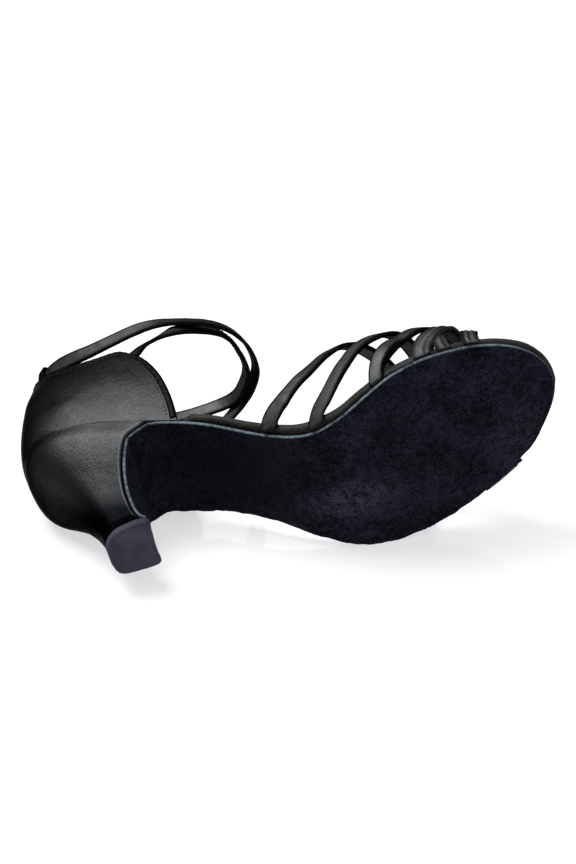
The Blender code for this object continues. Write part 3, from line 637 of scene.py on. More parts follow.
class Workbench:
    """Shapes pieces from primitives, smooths them and puts them on the frame."""

    @staticmethod
    def deselect() -> None:
        """Leave nothing selected, in object mode."""
        if bpy.context.object is not None and bpy.context.object.mode != "OBJECT":
            bpy.ops.object.mode_set(mode="OBJECT")
        bpy.ops.object.select_all(action="DESELECT")

    @classmethod
    def pick(cls, item: bpy.types.Object) -> None:
        """Select one piece alone and make it active."""
        cls.deselect()
        item.select_set(True)
        bpy.context.view_layer.objects.active = item

    @classmethod
    def tube(cls, name: str, rings: Sequence[Ring], loop: bool = False,
             slots: Sequence[int] | None = None, sharp: float = 40.0,
             across: Sequence[float] | None = None) -> bpy.types.Object:
        """Wrap a flat grid round a row of closed rings.

        Args:
            name: Name of the piece.
            rings: Rings of equal size, given on the standing shoe.
            loop: Whether the last ring joins the first.
            slots: Material number for each step round the ring.
            sharp: Angle past which an edge stays crisp, in degrees.
            across: Second map coordinate of each point of a ring, in metres, where it isn't
                the distance round the ring.

        Returns:
            A closed piece with a map in metres along and round it.
        """
        rows = list(rings) + ([rings[0]] if loop else [])
        size = len(rows[0])
        cls.deselect()
        bpy.ops.mesh.primitive_grid_add(x_subdivisions=len(rows) - 1, y_subdivisions=size, size=1.0)
        item = bpy.context.object
        item.name = item.data.name = name
        mesh = item.data
        steps = [(round((v.co.x + 0.5) * (len(rows) - 1)), round((v.co.y + 0.5) * size))
                 for v in mesh.vertices]
        runs = cls.lengths([sum(ring, Vector()) / size for ring in rows])
        widest = rows[len(rows) // 2]
        turns = list(across) + [across[0]] if across else cls.lengths(widest + [widest[0]])
        if slots is not None:
            for face in mesh.polygons:
                face.material_index = slots[int((face.center.y + 0.5) * size)]
        for corner in mesh.loops:
            i, k = steps[corner.vertex_index]
            mesh.uv_layers.active.data[corner.index].uv = (runs[i], turns[k])
        for vertex, (i, k) in zip(mesh.vertices, steps):
            vertex.co = SHOE.place(rows[i][k % size])
        bpy.ops.object.mode_set(mode="EDIT")
        bpy.ops.mesh.select_all(action="SELECT")
        bpy.ops.mesh.remove_doubles(threshold=0.000002)
        if not loop:
            bpy.ops.mesh.select_all(action="SELECT")
            bpy.ops.mesh.fill_holes(sides=0)
        bpy.ops.mesh.select_all(action="SELECT")
        bpy.ops.mesh.normals_make_consistent(inside=False)
        bpy.ops.object.mode_set(mode="OBJECT")
        cls.smooth(item, sharp)
        return item

    @staticmethod
    def lengths(points: Sequence[Vector]) -> list[float]:
        """Running length at each point of a line."""
        found = [0.0]
        for before, after in zip(points, points[1:]):
            found.append(found[-1] + (after - before).length)
        return found

    @classmethod
    def smooth(cls, item: bpy.types.Object, sharp: float) -> None:
        """Shade a piece smooth, with crisp edges past an angle in degrees."""
        cls.pick(item)
        bpy.ops.object.shade_smooth_by_angle(angle=math.radians(sharp))

    @classmethod
    def stitches(cls, name: str, places: Sequence[tuple[Vector, Vector, Vector]],
                 size: tuple[float, float, float]) -> bpy.types.Object:
        """Model one stitch and set a copy at each place.

        Args:
            name: Name of the row.
            places: Middle, run and outward direction of each stitch on the standing shoe.
            size: Half length, half width and half height of a stitch.

        Returns:
            One piece that holds all the stitches.
        """
        cls.deselect()
        bpy.ops.mesh.primitive_uv_sphere_add(segments=8, ring_count=6, radius=1.0)
        item = bpy.context.object
        item.name = item.data.name = name
        shape = bmesh.new()
        shape.from_mesh(item.data)
        model = list(shape.verts)
        faces = [list(face.verts) for face in shape.faces]
        for middle, run, out in places:
            across = run.cross(out).normalized()
            copies = {}
            for vertex in model:
                offset = (run * (vertex.co.z * size[0]) + across * (vertex.co.x * size[1])
                          + out * (vertex.co.y * size[2]))
                copies[vertex] = shape.verts.new(SHOE.place(middle + offset))
            for corners in faces:
                shape.faces.new([copies[corner] for corner in corners])
        bmesh.ops.delete(shape, geom=model, context="VERTS")
        bmesh.ops.recalc_face_normals(shape, faces=shape.faces)
        shape.to_mesh(item.data)
        shape.free()
        cls.smooth(item, 60.0)
        return item

    @classmethod
    def dress(cls, item: bpy.types.Object, materials: Sequence[bpy.types.Material], slot: str,
              stands_for: Sequence[str] = ()) -> bpy.types.Object:
        """Give a piece its materials and put it on the frame.

        Args:
            item: The piece.
            materials: Its materials, by number.
            slot: The record's material slot; not used.
            stands_for: CAD nodes that it replaces.

        Returns:
            The piece.
        """
        for material in materials:
            item.data.materials.append(material)
        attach(item, "root")
        if stands_for:
            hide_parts(*stands_for)
        LOG.info("%s: %d faces", item.name, len(item.data.polygons))
        return item


@dataclass(frozen=True)
class Band:
    """Section of a flat band with rounded edges."""

    width: float
    thickness: float
    edge_round: float = 0.0006
    columns: int = 10

    def outline(self) -> list[tuple[float, float]]:
        """Share over the width and height of each point, from the left on the lower face."""
        inset = min(self.edge_round / self.width, 0.45)
        corner = min(self.edge_round, self.thickness * 0.49)
        flat = [inset + (1 - 2 * inset) * i / self.columns for i in range(self.columns + 1)]
        bends = [math.radians(angle) for angle in (30, 60, 90)]
        low = [(1 - inset * (1 - math.sin(a)), corner * (1 - math.cos(a))) for a in bends]
        high = [(share, self.thickness - height) for share, height in reversed(low)]
        side = low + high
        other = [(1 - share, height) for share, height in reversed(side)]
        return ([(share, 0.0) for share in flat] + side
                + [(share, self.thickness) for share in reversed(flat)] + other)

    def slots(self) -> list[int]:
        """Material number of each step: 0 below, 1 low on the left edge and 2 on top."""
        rising, falling = [0] * 4 + [2] * 3, [2] * 3 + [1] * 4
        return [0] * self.columns + rising + [2] * self.columns + falling

    def across(self) -> list[float]:
        """Distance of each point from the left edge, for the piece's map."""
        return [share * self.width for share, _ in self.outline()]

    def ring(self, left: Vector, right: Vector, up: Vector,
             relief: Callable[[float, float], float] | None = None) -> Ring:
        """Set the section between two edges.

        Args:
            left: Left edge of the lower face.
            right: Right edge of the lower face.
            up: Direction of the thickness.
            relief: Extra height by share over the width and share of the thickness.

        Returns:
            The ring.
        """
        points = []
        for share, height in self.outline():
            extra = relief(share, height / self.thickness) if relief else 0.0
            points.append(left.lerp(right, share) + up * (height + extra))
        return points


class Value:
    """Number in a material, whose sums each add a Math node."""

    def __init__(self, paint: "Paint", socket: bpy.types.NodeSocket) -> None:
        """Wrap one socket of a material."""
        self.paint = paint
        self.socket = socket

    def math(self, operation: str, first: Any, second: Any = 0.0) -> "Value":
        """Add a Math node.

        Args:
            operation: The node's operation.
            first: Its first number.
            second: Its second number.

        Returns:
            The result.
        """
        node = self.paint.node("ShaderNodeMath", {"operation": operation}, {0: first, 1: second})
        return Value(self.paint, node.outputs[0])

    def __add__(self, other: Any) -> "Value":
        """Sum."""
        return self.math("ADD", self, other)

    def __radd__(self, other: Any) -> "Value":
        """Sum with a plain number first."""
        return self.math("ADD", other, self)

    def __sub__(self, other: Any) -> "Value":
        """Difference."""
        return self.math("SUBTRACT", self, other)

    def __rsub__(self, other: Any) -> "Value":
        """Difference from a plain number."""
        return self.math("SUBTRACT", other, self)

    def __mul__(self, other: Any) -> "Value":
        """Product."""
        return self.math("MULTIPLY", self, other)

    def __rmul__(self, other: Any) -> "Value":
        """Product with a plain number first."""
        return self.math("MULTIPLY", other, self)

    def step(self, low: float, high: float) -> "Value":
        """Smooth step from 0 at the low number to 1 at the high one."""
        settings = {"interpolation_type": "SMOOTHSTEP"}
        node = self.paint.node("ShaderNodeMapRange", settings, {0: self, 1: low, 2: high})
        return Value(self.paint, node.outputs[0])


class Paint:
    """Builds the nodes of one material."""

    def __init__(self, name: str) -> None:
        """Start a material with its shader alone."""
        self.material = bpy.data.materials.new(name)
        self.material.use_nodes = True
        self.tree = self.material.node_tree
        self.shader = self.tree.nodes["Principled BSDF"]

    def node(self, kind: str, settings: dict[str, Any], inputs: dict[Any, Any]) -> bpy.types.Node:
        """Add one node.

        Args:
            kind: The node's type.
            settings: Its options, set before its sockets.
            inputs: Its sockets by name or number, each a number, a colour or a link.

        Returns:
            The node.
        """
        made = self.tree.nodes.new(kind)
        for name, value in settings.items():
            setattr(made, name, value)
        for key, value in inputs.items():
            self.feed(made.inputs[key], value)
        return made

    def feed(self, socket: bpy.types.NodeSocket, value: Any) -> None:
        """Give a socket a number, a colour or a link."""
        if isinstance(value, Value):
            value = value.socket
        if isinstance(value, bpy.types.NodeSocket):
            self.tree.links.new(value, socket)
        else:
            socket.default_value = value

    def standing(self) -> bpy.types.NodeSocket:
        """Place on the standing shoe, in metres."""
        back = SHOE.turn.transposed()
        spot = self.node("ShaderNodeTexCoord", {}, {}).outputs["Object"]
        shift = back @ (-SHOE.offset)
        turned = self.node("ShaderNodeMapping", {"vector_type": "POINT"},
                           {"Vector": spot, "Rotation": back.to_euler(), "Location": shift})
        return turned.outputs[0]

    def along_band(self, axis: str) -> Value:
        """Distance along (X) or round (Y) a piece on its own map."""
        spot = self.node("ShaderNodeTexCoord", {}, {}).outputs["UV"]
        return Value(self, self.node("ShaderNodeSeparateXYZ", {}, {0: spot}).outputs[axis])

    def scaled(self, spot: bpy.types.NodeSocket, scale: tuple[float, float, float]) -> Any:
        """Stretch places before a texture reads them."""
        node = self.node("ShaderNodeVectorMath", {"operation": "MULTIPLY"}, {0: spot, 1: scale})
        return node.outputs[0]

    def noise(self, spot: Any, size: float, detail: float = 3.0, rough: float = 0.55) -> Value:
        """Cloudy noise, from about 0 to 1.

        Args:
            spot: Place that it reads.
            size: Size of its lumps, in metres.
            detail: How many finer layers it has.
            rough: Strength of the finer layers.

        Returns:
            The noise.
        """
        made = self.node("ShaderNodeTexNoise", {}, {"Vector": spot, "Scale": 1 / size,
                                                    "Detail": detail, "Roughness": rough})
        return Value(self, made.outputs[0])

    def patch(self, spot: Any, patch: "Patch") -> Value:
        """Soft patch that has its full strength at its centre and none past its reach."""
        shifted = self.node("ShaderNodeVectorMath", {"operation": "SUBTRACT"},
                            {0: spot, 1: patch.centre})
        scaled = self.scaled(shifted.outputs[0], tuple(1 / size for size in patch.reach))
        length = self.node("ShaderNodeVectorMath", {"operation": "LENGTH"}, {0: scaled})
        return (1 - Value(self, length.outputs["Value"]).step(0.0, 1.0)) * patch.strength

    def blend(self, factor: Any, low: Any, high: Any) -> bpy.types.NodeSocket:
        """Mix two colours by a factor from 0 to 1."""
        node = self.node("ShaderNodeMix", {"data_type": "RGBA"}, {0: factor, 6: low, 7: high})
        return node.outputs[2]

    def bumps(self, layers: Sequence[tuple[Value, float]]) -> bpy.types.NodeSocket:
        """Stack height layers, each with its height in metres, into one normal."""
        normal = None
        for height, distance in layers:
            inputs = {"Height": height, "Distance": distance, "Strength": 1.0}
            if normal is not None:
                inputs["Normal"] = normal
            normal = self.node("ShaderNodeBump", {}, inputs).outputs[0]
        return normal

    def finish(self, **sockets: Any) -> bpy.types.Material:
        """Feed the shader, a capital and spaces standing for underscores.

        Args:
            **sockets: Value of each of the shader's sockets.

        Returns:
            The finished material.
        """
        names = {name.replace(" ", "_").lower(): name for name in self.shader.inputs.keys()}
        for key, value in sockets.items():
            self.feed(self.shader.inputs[names[key]], value)
        return self.material


Colour = tuple[float, float, float, float]


def grey(level: float, warm: float = 0.0) -> Colour:
    """Colour of a grey level that is warmer above 0 and bluer below it."""
    return (level * (1 + warm), level, level * (1 - warm), 1.0)


@dataclass(frozen=True)
class Patch:
    """Soft patch on the standing shoe."""

    centre: tuple[float, float, float]
    reach: tuple[float, float, float]
    strength: float


@dataclass(frozen=True)
class Suede:
    """Napped leather of the sole, brushed in patches, with painted shade over the waist."""

    name: str = "sole_suede"
    cloud_size: float = 0.016
    nap_size: float = 0.0030
    speck_size: float = 0.0008
    stroke_size: float = 0.005
    # Patch over the waist where painted shade darkens the suede towards the shaded colour
    waist: Patch = Patch((0.085, 0.0, 0.030), (0.060, 0.045, 0.060), 0.85)
    ball: Patch = Patch((0.133, 0.015, 0.0), (0.032, 0.015, 0.05), 0.85)
    toe: Patch = Patch((0.208, 0.010, 0.0), (0.018, 0.022, 0.05), 0.35)
    dark: Colour = (0.0006, 0.0006, 0.0016, 1.0)
    light: Colour = (0.0150, 0.0160, 0.0275, 1.0)
    brushed: Colour = (0.052, 0.054, 0.078, 1.0)
    shaded: Colour = (0.0014, 0.0013, 0.0028, 1.0)

    def material(self) -> bpy.types.Material:
        """Make the material."""
        paint = Paint(self.name)
        spot = paint.standing()
        cloud = paint.noise(spot, self.cloud_size, 3.0)
        nap = paint.noise(spot, self.nap_size, 3.0, 0.7)
        speck = paint.noise(spot, self.speck_size, 2.0, 0.7)
        tone = (cloud * 0.26 + nap * 0.32 + speck * 0.52).step(0.46, 0.68)
        colour = paint.blend(tone, self.dark, self.light)
        # Painted shade: the suede over the waist is blended towards the shaded colour
        colour = paint.blend(paint.patch(spot, self.waist), colour, self.shaded)
        strokes = paint.noise(spot, self.stroke_size, 3.0, 0.7) * 0.5 + speck * 0.5
        worn = paint.patch(spot, self.ball) + paint.patch(spot, self.toe)
        colour = paint.blend(worn * strokes.step(0.38, 0.66), colour, self.brushed)
        normal = paint.bumps([(cloud, 0.0006), (nap, 0.0007), (speck, 0.0004)])
        return paint.finish(base_color=colour, roughness=0.95, specular_ior_level=0.04,
                            sheen_weight=0.02, sheen_roughness=0.5,
                            sheen_tint=(0.75, 0.80, 1.0, 1.0), normal=normal)


@dataclass(frozen=True)
class CutEdge:
    """Pale fibres where the suede is cut."""

    name: str = "suede_cut_edge"
    dark: Colour = (0.006, 0.009, 0.012, 1.0)
    light: Colour = (0.14, 0.18, 0.21, 1.0)
    fibre_size: float = 0.0016
    worn_size: float = 0.022

    def material(self) -> bpy.types.Material:
        """Make the material."""
        paint = Paint(self.name)
        spot = paint.standing()
        fibres = paint.noise(spot, self.fibre_size, 4.0, 0.7)
        worn = paint.noise(spot, self.worn_size, 2.0)
        tone = (fibres * 0.5 + worn * 0.5).step(0.36, 0.62)
        normal = paint.bumps([(fibres, 0.0005)])
        return paint.finish(base_color=paint.blend(tone, self.dark, self.light), roughness=0.9,
                            specular_ior_level=0.2, normal=normal)


@dataclass(frozen=True)
class Satin:
    """Black satin with its fine grain and soft sheen, and painted shade below a height where one is
    given.
    """

    name: str
    level: float = 0.024
    roughness: float = 0.36
    slub: float = 0.00004
    painted_shade_below: float = 0.0
    grain_size: float = 0.0007
    thread_size: float = 0.0022
    pull_size: float = 0.012
    tint: Colour = (0.12, 0.12, 0.14, 1.0)

    def material(self) -> bpy.types.Material:
        """Make the material."""
        paint = Paint(self.name)
        spot = paint.standing()
        grain = paint.noise(spot, self.grain_size, 2.0, 0.6)
        upright = paint.scaled(spot, (1.0, 1.0, 4.0))
        thread = paint.noise(upright, self.thread_size, 3.0, 0.6)
        pull = paint.noise(spot, self.pull_size, 2.0)
        tone = (grain * 0.6 + thread * 0.4).step(0.3, 0.7)
        colour = paint.blend(tone, grey(self.level * 0.7), grey(self.level * 1.45, -0.02))
        # Painted shade: below the given height the satin is blended towards a darker grey, fully dark
        # under about a third of it
        if self.painted_shade_below:
            split = paint.node("ShaderNodeSeparateXYZ", {}, {0: spot})
            high = Value(paint, split.outputs["Z"]).step(self.painted_shade_below * 0.35, self.painted_shade_below)
            colour = paint.blend(high, grey(self.level * 0.22, -0.1), colour)
        rough = self.roughness + (grain - 0.5) * 0.18 + (pull - 0.5) * 0.10
        normal = paint.bumps([(pull, 0.0003), (thread, self.slub), (grain, 0.00014)])
        return paint.finish(base_color=colour, roughness=rough, metallic=1.0,
                            specular_tint=self.tint, normal=normal)


@dataclass(frozen=True)
class StrapSatin:
    """Satin of a strap, with painted sheen down its middle and painted shade towards its folded edges."""

    name: str
    width: float
    middle: float = 0.034
    edge: float = 0.005
    pleats: float = 0.0
    painted_foot_shade: float = 0.0
    grain_size: float = 0.0007
    worn_size: float = 0.006
    tint: Colour = (0.15, 0.15, 0.17, 1.0)

    def material(self) -> bpy.types.Material:
        """Make the material."""
        paint = Paint(self.name)
        spot = paint.standing()
        grain = paint.noise(spot, self.grain_size, 2.0, 0.6)
        worn = paint.noise(spot, self.worn_size, 3.0)
        side = paint.along_band("Y")
        off = side - self.width / 2
        # Painted sheen down the middle of the strap, fading to painted shade at both edges; the worn
        # noise varies the sheen
        edge_shade = off.math("ABSOLUTE", off).step(self.width * 0.22, self.width * 0.46)
        tone = (1 - edge_shade) * (0.35 + worn * 0.7) + (grain - 0.5) * 0.6
        if self.pleats:
            # Painted highlight along each pleat's ridge
            ridge = side.math("COSINE", side * (2 * math.pi * self.pleats / self.width))
            tone = tone + ridge.step(0.35, 1.0) * 0.5
        if self.painted_foot_shade:
            # Painted shade: the strap is darkened over this length from its inner foot
            tone = tone * (0.25 + paint.along_band("X").step(0.0, self.painted_foot_shade) * 0.75)
        colour = paint.blend(tone, grey(self.edge), grey(self.middle, -0.02))
        rough = 0.48 + (grain - 0.5) * 0.2
        normal = paint.bumps([(worn, 0.0003), (grain, 0.00016)])
        return paint.finish(base_color=colour, roughness=rough, metallic=1.0,
                            specular_tint=self.tint, normal=normal)


@dataclass(frozen=True)
class Hide:
    """Leather or lining with a fine grain."""

    name: str
    dark: Colour
    light: Colour
    roughness: float = 0.6
    grain_size: float = 0.0012
    grain_height: float = 0.00012
    cloud_size: float = 0.012

    def material(self) -> bpy.types.Material:
        """Make the material."""
        paint = Paint(self.name)
        spot = paint.standing()
        grain = paint.noise(spot, self.grain_size, 3.0, 0.6)
        cloud = paint.noise(spot, self.cloud_size, 3.0)
        tone = (grain * 0.5 + cloud * 0.5).step(0.35, 0.65)
        normal = paint.bumps([(cloud, 0.0004), (grain, self.grain_height)])
        rough = self.roughness + (grain - 0.5) * 0.2
        return paint.finish(base_color=paint.blend(tone, self.dark, self.light), roughness=rough,
                            specular_ior_level=0.15, normal=normal)


@dataclass(frozen=True)
class Metal:
    """Polished metal with faint scratches."""

    name: str = "buckle_metal"
    haze_size: float = 0.0015

    def material(self) -> bpy.types.Material:
        """Make the material."""
        paint = Paint(self.name)
        spot = paint.standing()
        haze = paint.noise(spot, self.haze_size, 3.0)
        normal = paint.bumps([(haze, 0.00004)])
        return paint.finish(base_color=paint.blend(haze, grey(0.5), grey(0.72)), metallic=1.0,
                            roughness=0.16 + haze * 0.14, normal=normal)


# Finishes of the pieces
# The heel's satin carries painted shade below 46 mm, darker towards the top piece
HEEL_SATIN = Satin("heel_satin", painted_shade_below=0.046)
QUARTER_SATIN = Satin("quarter_satin")
BINDING_SATIN = Satin("binding_satin", level=0.008, roughness=0.5)
BOARD_HIDE = Hide("board_wrap", (0.004, 0.004, 0.004, 1.0), (0.024, 0.025, 0.022, 1.0), 0.62,
                  0.0016, 0.00022)
SOCK_HIDE = Hide("sock_hide", grey(0.018, 0.06), grey(0.040, 0.06), 0.7, 0.0010, 0.00010)
LINING_HIDE = Hide("quarter_lining", grey(0.020, 0.05), grey(0.036, 0.05), 0.75, 0.0009, 0.00010)
THREAD_HIDE = Hide("seam_thread", grey(0.004), grey(0.016), 0.5, 0.0006, 0.00004)
TIP_HIDE = Hide("top_piece_rubber", (0.018, 0.016, 0.027, 1.0), (0.048, 0.043, 0.064, 1.0), 0.75,
                0.0008, 0.00012)


@dataclass
class Sole:
    """Suede sole that turns down the heel breast to the top piece."""

    columns: int = 26
    steps_per_span: int = 5
    edge_round: float = 0.0005
    outer_ripple: float = 0.00075
    inner_ripple: float = 0.00012
    swell: float = 0.00025
    deepest: float = 0.0004
    swell_run: float = 0.004
    corner_reach: float = 0.014
    level_step: float = 0.01
    breast_levels: int = 12
    waist_steps: int = 21
    toe_steps: int = 9

    def edges(self) -> list[tuple[Vector, Vector]]:
        """Inner and outer edge of the upper face at each driving place."""
        found = []
        step = self.level_step
        for level in (step / 2,) + HEEL_LEVELS[1:self.breast_levels]:
            point = Last.heel(level, 0.0)
            run = Last.heel(level + step, 0.0) - Last.heel(max(level - step, 0.0), 0.0)
            off = Vector((run.z, 0, -run.x)).normalized() * FIT_GAP
            trim = BREAST_FOOT + (BREAST_SEAT - BREAST_FOOT) * level
            found.append([Vector((point.x + off.x, Last.heel(level, turn).y * trim, point.z + off.z))
                          for turn in (0.0, 1.0)])
        for along, sag, narrow in BREAST_BEND:
            x = along * SOLE_LENGTH
            height = Last.underside(x) + TREAD_THICKNESS * (1 - sag)
            found.append([Vector((x, Last.edge(along, side, -narrow * TREAD_THICKNESS).y, height))
                          for side in (-1, 1)])
        for along in self.front():
            pair = [Last.edge(along, side, 0.0) for side in (-1, 1)]
            for point in pair:
                point.z = Last.underside(point.x) + TREAD_THICKNESS
            found.append(pair)
        return found

    def front(self) -> list[float]:
        """Driving places in front of the heel, closer together at the toe."""
        middle = [WAIST_START + (TOE_START - WAIST_START) * i / self.waist_steps
                  for i in range(self.waist_steps)]
        toe = [TOE_START + (1 - TOE_START) * math.sin(math.pi / 2 * i / self.toe_steps)
               for i in range(self.toe_steps + 1)]
        return middle + toe

    def rings(self) -> list[Ring]:
        """Sections of the suede from the top piece to the toe."""
        driving = self.edges()
        count = (len(driving) - 1) * self.steps_per_span
        inner, outer = ([pair[side] for pair in driving] for side in (0, 1))
        rings = []
        for i in range(count + 1):
            place = i / count
            left, right = (soft_flow(edge, place, self.corner_reach) for edge in (inner, outer))
            run = flow(inner, place + WALL_STEP) + flow(outer, place + WALL_STEP)
            run -= flow(inner, place - WALL_STEP) + flow(outer, place - WALL_STEP)
            run.y = 0.0
            run.normalize()
            up = Vector((-run.z, 0, run.x))
            left, right = left - up * TREAD_THICKNESS, right - up * TREAD_THICKNESS
            width = (right - left).length
            loose = min(width / 0.03, 1.0)
            aside = Vector((0, 1, 0)) * loose
            right = right + aside * self.outer_ripple * wander(right, 0.0065, 0.0022)
            left = left + aside * self.inner_ripple * wander(left, 0.004)
            band = Band(width, TREAD_THICKNESS, self.edge_round, self.columns)

            def relief(share: float, height: float) -> float:
                spot = left.lerp(right, share)
                if height > 0.5:
                    return 0.0
                rim = min(share, 1 - share) * width
                lumps = self.swell * wander(spot, 0.018, 0.007)
                return max(lumps, -self.deepest) * min(rim / self.swell_run, 1.0)

            rings.append(band.ring(left, right, up, relief))
        return rings

    def build(self) -> None:
        """Model and dress the sole."""
        slots = Band(BALL_WIDTH, TREAD_THICKNESS, self.edge_round, self.columns).slots()
        item = Workbench.tube("suede_sole", self.rings(), slots=slots, sharp=50.0)
        suede, edge = Suede().material(), CutEdge().material()
        Workbench.dress(item, [suede, edge, suede], "suede", ["outsole"])


@dataclass
class Footbed:
    """Board with its wrapped edge, and the padded sock that lies on it."""

    columns: int = 22
    board_round: float = 0.0012
    sock_round: float = 0.0009
    crown: float = 0.0005
    crown_run: float = 0.012
    curl_reach: float = 0.35
    lump_height: float = 0.00012
    lump_size: float = 0.008
    stations: int = 190

    def rings(self, base: float, thickness: float, margin: float, edge_round: float,
              crown: float) -> list[Ring]:
        """Sections of one layer of the footbed.

        Args:
            base: Height of its lower face over the sole's underside.
            thickness: Its thickness.
            margin: How far it stays inside the board's edge.
            edge_round: Radius of its edges.
            crown: How far its upper face is padded up.

        Returns:
            The rings, from the heel to the toe.
        """
        rings = []
        for along in spaced(self.stations, 0.5):
            edges, lifts = [], []
            for side, word in ((-1, "inner"), (1, "outer")):
                out = BOARD_TABLE.read(word + "_out", along) * BOARD_THICKNESS - margin
                edges.append(Last.edge(along, side, out))
                lifts.append(BOARD_TABLE.read(word + "_lift", along) * BOARD_THICKNESS)
            width = (edges[1] - edges[0]).length
            ring = []
            band = Band(max(width, 0.001), thickness, edge_round, self.columns)
            for share, height in band.outline():
                place = edges[0].lerp(edges[1], share)
                lift = base + height
                for side, end in zip(lifts, (share, 1 - share)):
                    lift += side * max(0.0, 1 - end / self.curl_reach) ** 2
                if height > thickness / 2:
                    lift += crown * min(min(share, 1 - share) * width / self.crown_run, 1.0)
                    lift += self.lump_height * wander(place, self.lump_size)
                ring.append(Vector((place.x, place.y, Last.underside(place.x) + lift)))
            rings.append(ring)
        return rings

    def build(self) -> None:
        """Model and dress the board and the sock."""
        base = TREAD_THICKNESS + FIT_GAP
        board = Workbench.tube("insole_board_wrapped", self.rings(
            base, BOARD_THICKNESS, 0.0, self.board_round, 0.0), sharp=60.0)
        Workbench.dress(board, [BOARD_HIDE.material()], "board", ["insole_board"])
        base += BOARD_THICKNESS + FIT_GAP
        sock = Workbench.tube("sock_padded", self.rings(
            base, SOCK_THICKNESS - self.crown, SOCK_MARGIN, self.sock_round, self.crown), sharp=60.0)
        Workbench.dress(sock, [SOCK_HIDE.material()], "sock", ["insole"])


@dataclass
class Heel:
    """Covered heel with its top piece."""

    turns: int = 60
    levels: int = 70
    breast_columns: int = 10
    corner: float = 0.0013
    tip_corner: float = 0.0026
    hollow: float = 0.0004
    dent: float = 0.00022
    dent_size: float = 0.014
    tip_wear: float = 0.00018
    tip_wear_size: float = 0.003

    def ring(self, level: float, corner: float) -> Ring:
        """Section of the covered heel: round the back, then across the breast.

        Args:
            level: 0 at the top piece, 1 at the seat.
            corner: Radius of the two breast corners.

        Returns:
            The ring.
        """
        side = [Last.heel(level, i / self.turns) for i in range(self.turns + 1)]
        first, last = side[0], side[-1]
        width = (last - first).length
        inner_way = (side[4] - first).normalized()
        outer_way = (side[-5] - last).normalized()
        corner = min(corner, width * 0.2)
        body = [p for p in side if (p - first).length > corner and (p - last).length > corner]
        body = self.resampled(body, self.turns)
        across = (last - first).normalized()
        far = self.bend(last + outer_way * corner, last, last - across * corner)
        near = self.bend(first + across * corner, first, first + inner_way * corner)
        breast = [(last - across * corner).lerp(first + across * corner, i / self.breast_columns)
                  for i in range(1, self.breast_columns)]
        for i, point in enumerate(breast, start=1):
            point.x -= math.sin(math.pi * i / self.breast_columns) ** 0.5 * self.hollow
        return body + far + breast + near

    @staticmethod
    def bend(start: Vector, corner: Vector, end: Vector) -> Ring:
        """Five points round a corner."""
        shares = [i / 4 for i in range(5)]
        return [start * (1 - t) ** 2 + corner * 2 * t * (1 - t) + end * t * t for t in shares]

    @staticmethod
    def resampled(points: Ring, count: int) -> Ring:
        """Space points evenly along a line."""
        marks = Workbench.lengths(points)
        found = []
        index = 0
        for i in range(count):
            goal = marks[-1] * (i + 0.5) / count
            while marks[index + 1] < goal:
                index += 1
            share = (goal - marks[index]) / (marks[index + 1] - marks[index])
            found.append(points[index].lerp(points[index + 1], share))
        return found

    def slots(self) -> list[int]:
        """Material number of each step: 0 on the cover, 1 at its turned edge with a painted highlight, 2
        on the breast with painted shade.
        """
        return [0] * self.turns + [1] * 4 + [2] * self.breast_columns + [1] * 4 + [0]

    def cover(self) -> bpy.types.Object:
        """Model the covered heel with its soft dents."""
        rings = []
        for i in range(self.levels + 1):
            level = i / self.levels
            ring = self.ring(level, self.corner)
            middle = sum(ring, Vector()) / len(ring)
            for point in ring[:self.turns]:
                point += level_way(point - middle) * self.dent * wander(point, self.dent_size)
            rings.append(ring)
        return Workbench.tube("heel_cover", rings, slots=self.slots(), sharp=50.0)

    def top_piece(self) -> bpy.types.Object:
        """Model the top piece under the heel and the end of the suede."""
        back = HEEL_TABLE.read("back", 0.0) * SOLE_LENGTH
        front = HEEL_TABLE.read("front", 0.0) * SOLE_LENGTH
        reach = (front + FIT_GAP + TREAD_THICKNESS - back) / (front - back)
        middle = Vector(((back + front) / 2, 0.0, 0.0))
        foot = [Vector((back + (p.x - back) * reach, p.y, 0.0)) for p in self.ring(0.0, self.tip_corner)]
        rings = []
        for height, inset in TIP_SECTIONS:
            ring = []
            for point in foot:
                inward = (middle - point).normalized() * inset
                place = point + inward + Vector((0, 0, height))
                place += (point - middle).normalized() * self.tip_wear * wander(place, self.tip_wear_size)
                ring.append(place)
            rings.append(ring)
        return Workbench.tube("top_piece", rings, sharp=50.0)

    def build(self) -> None:
        """Model and dress the heel and its top piece."""
        cover = self.cover()
        # Painted highlight: the satin at the turned edges of the breast corners is lighter and glossier
        turned = Satin("heel_edge_highlight", level=0.05, roughness=0.40).material()
        # Painted shade: the breast face is far darker than the satin, standing for the shade in the gap
        # beside the suede
        breast = Hide("heel_breast", grey(0.004), grey(0.010), 0.8).material()
        Workbench.dress(cover, [HEEL_SATIN.material(), turned, breast], "satin", ["heel"])
        Workbench.dress(self.top_piece(), [TIP_HIDE.material()], "tip", ["heel_tip"])


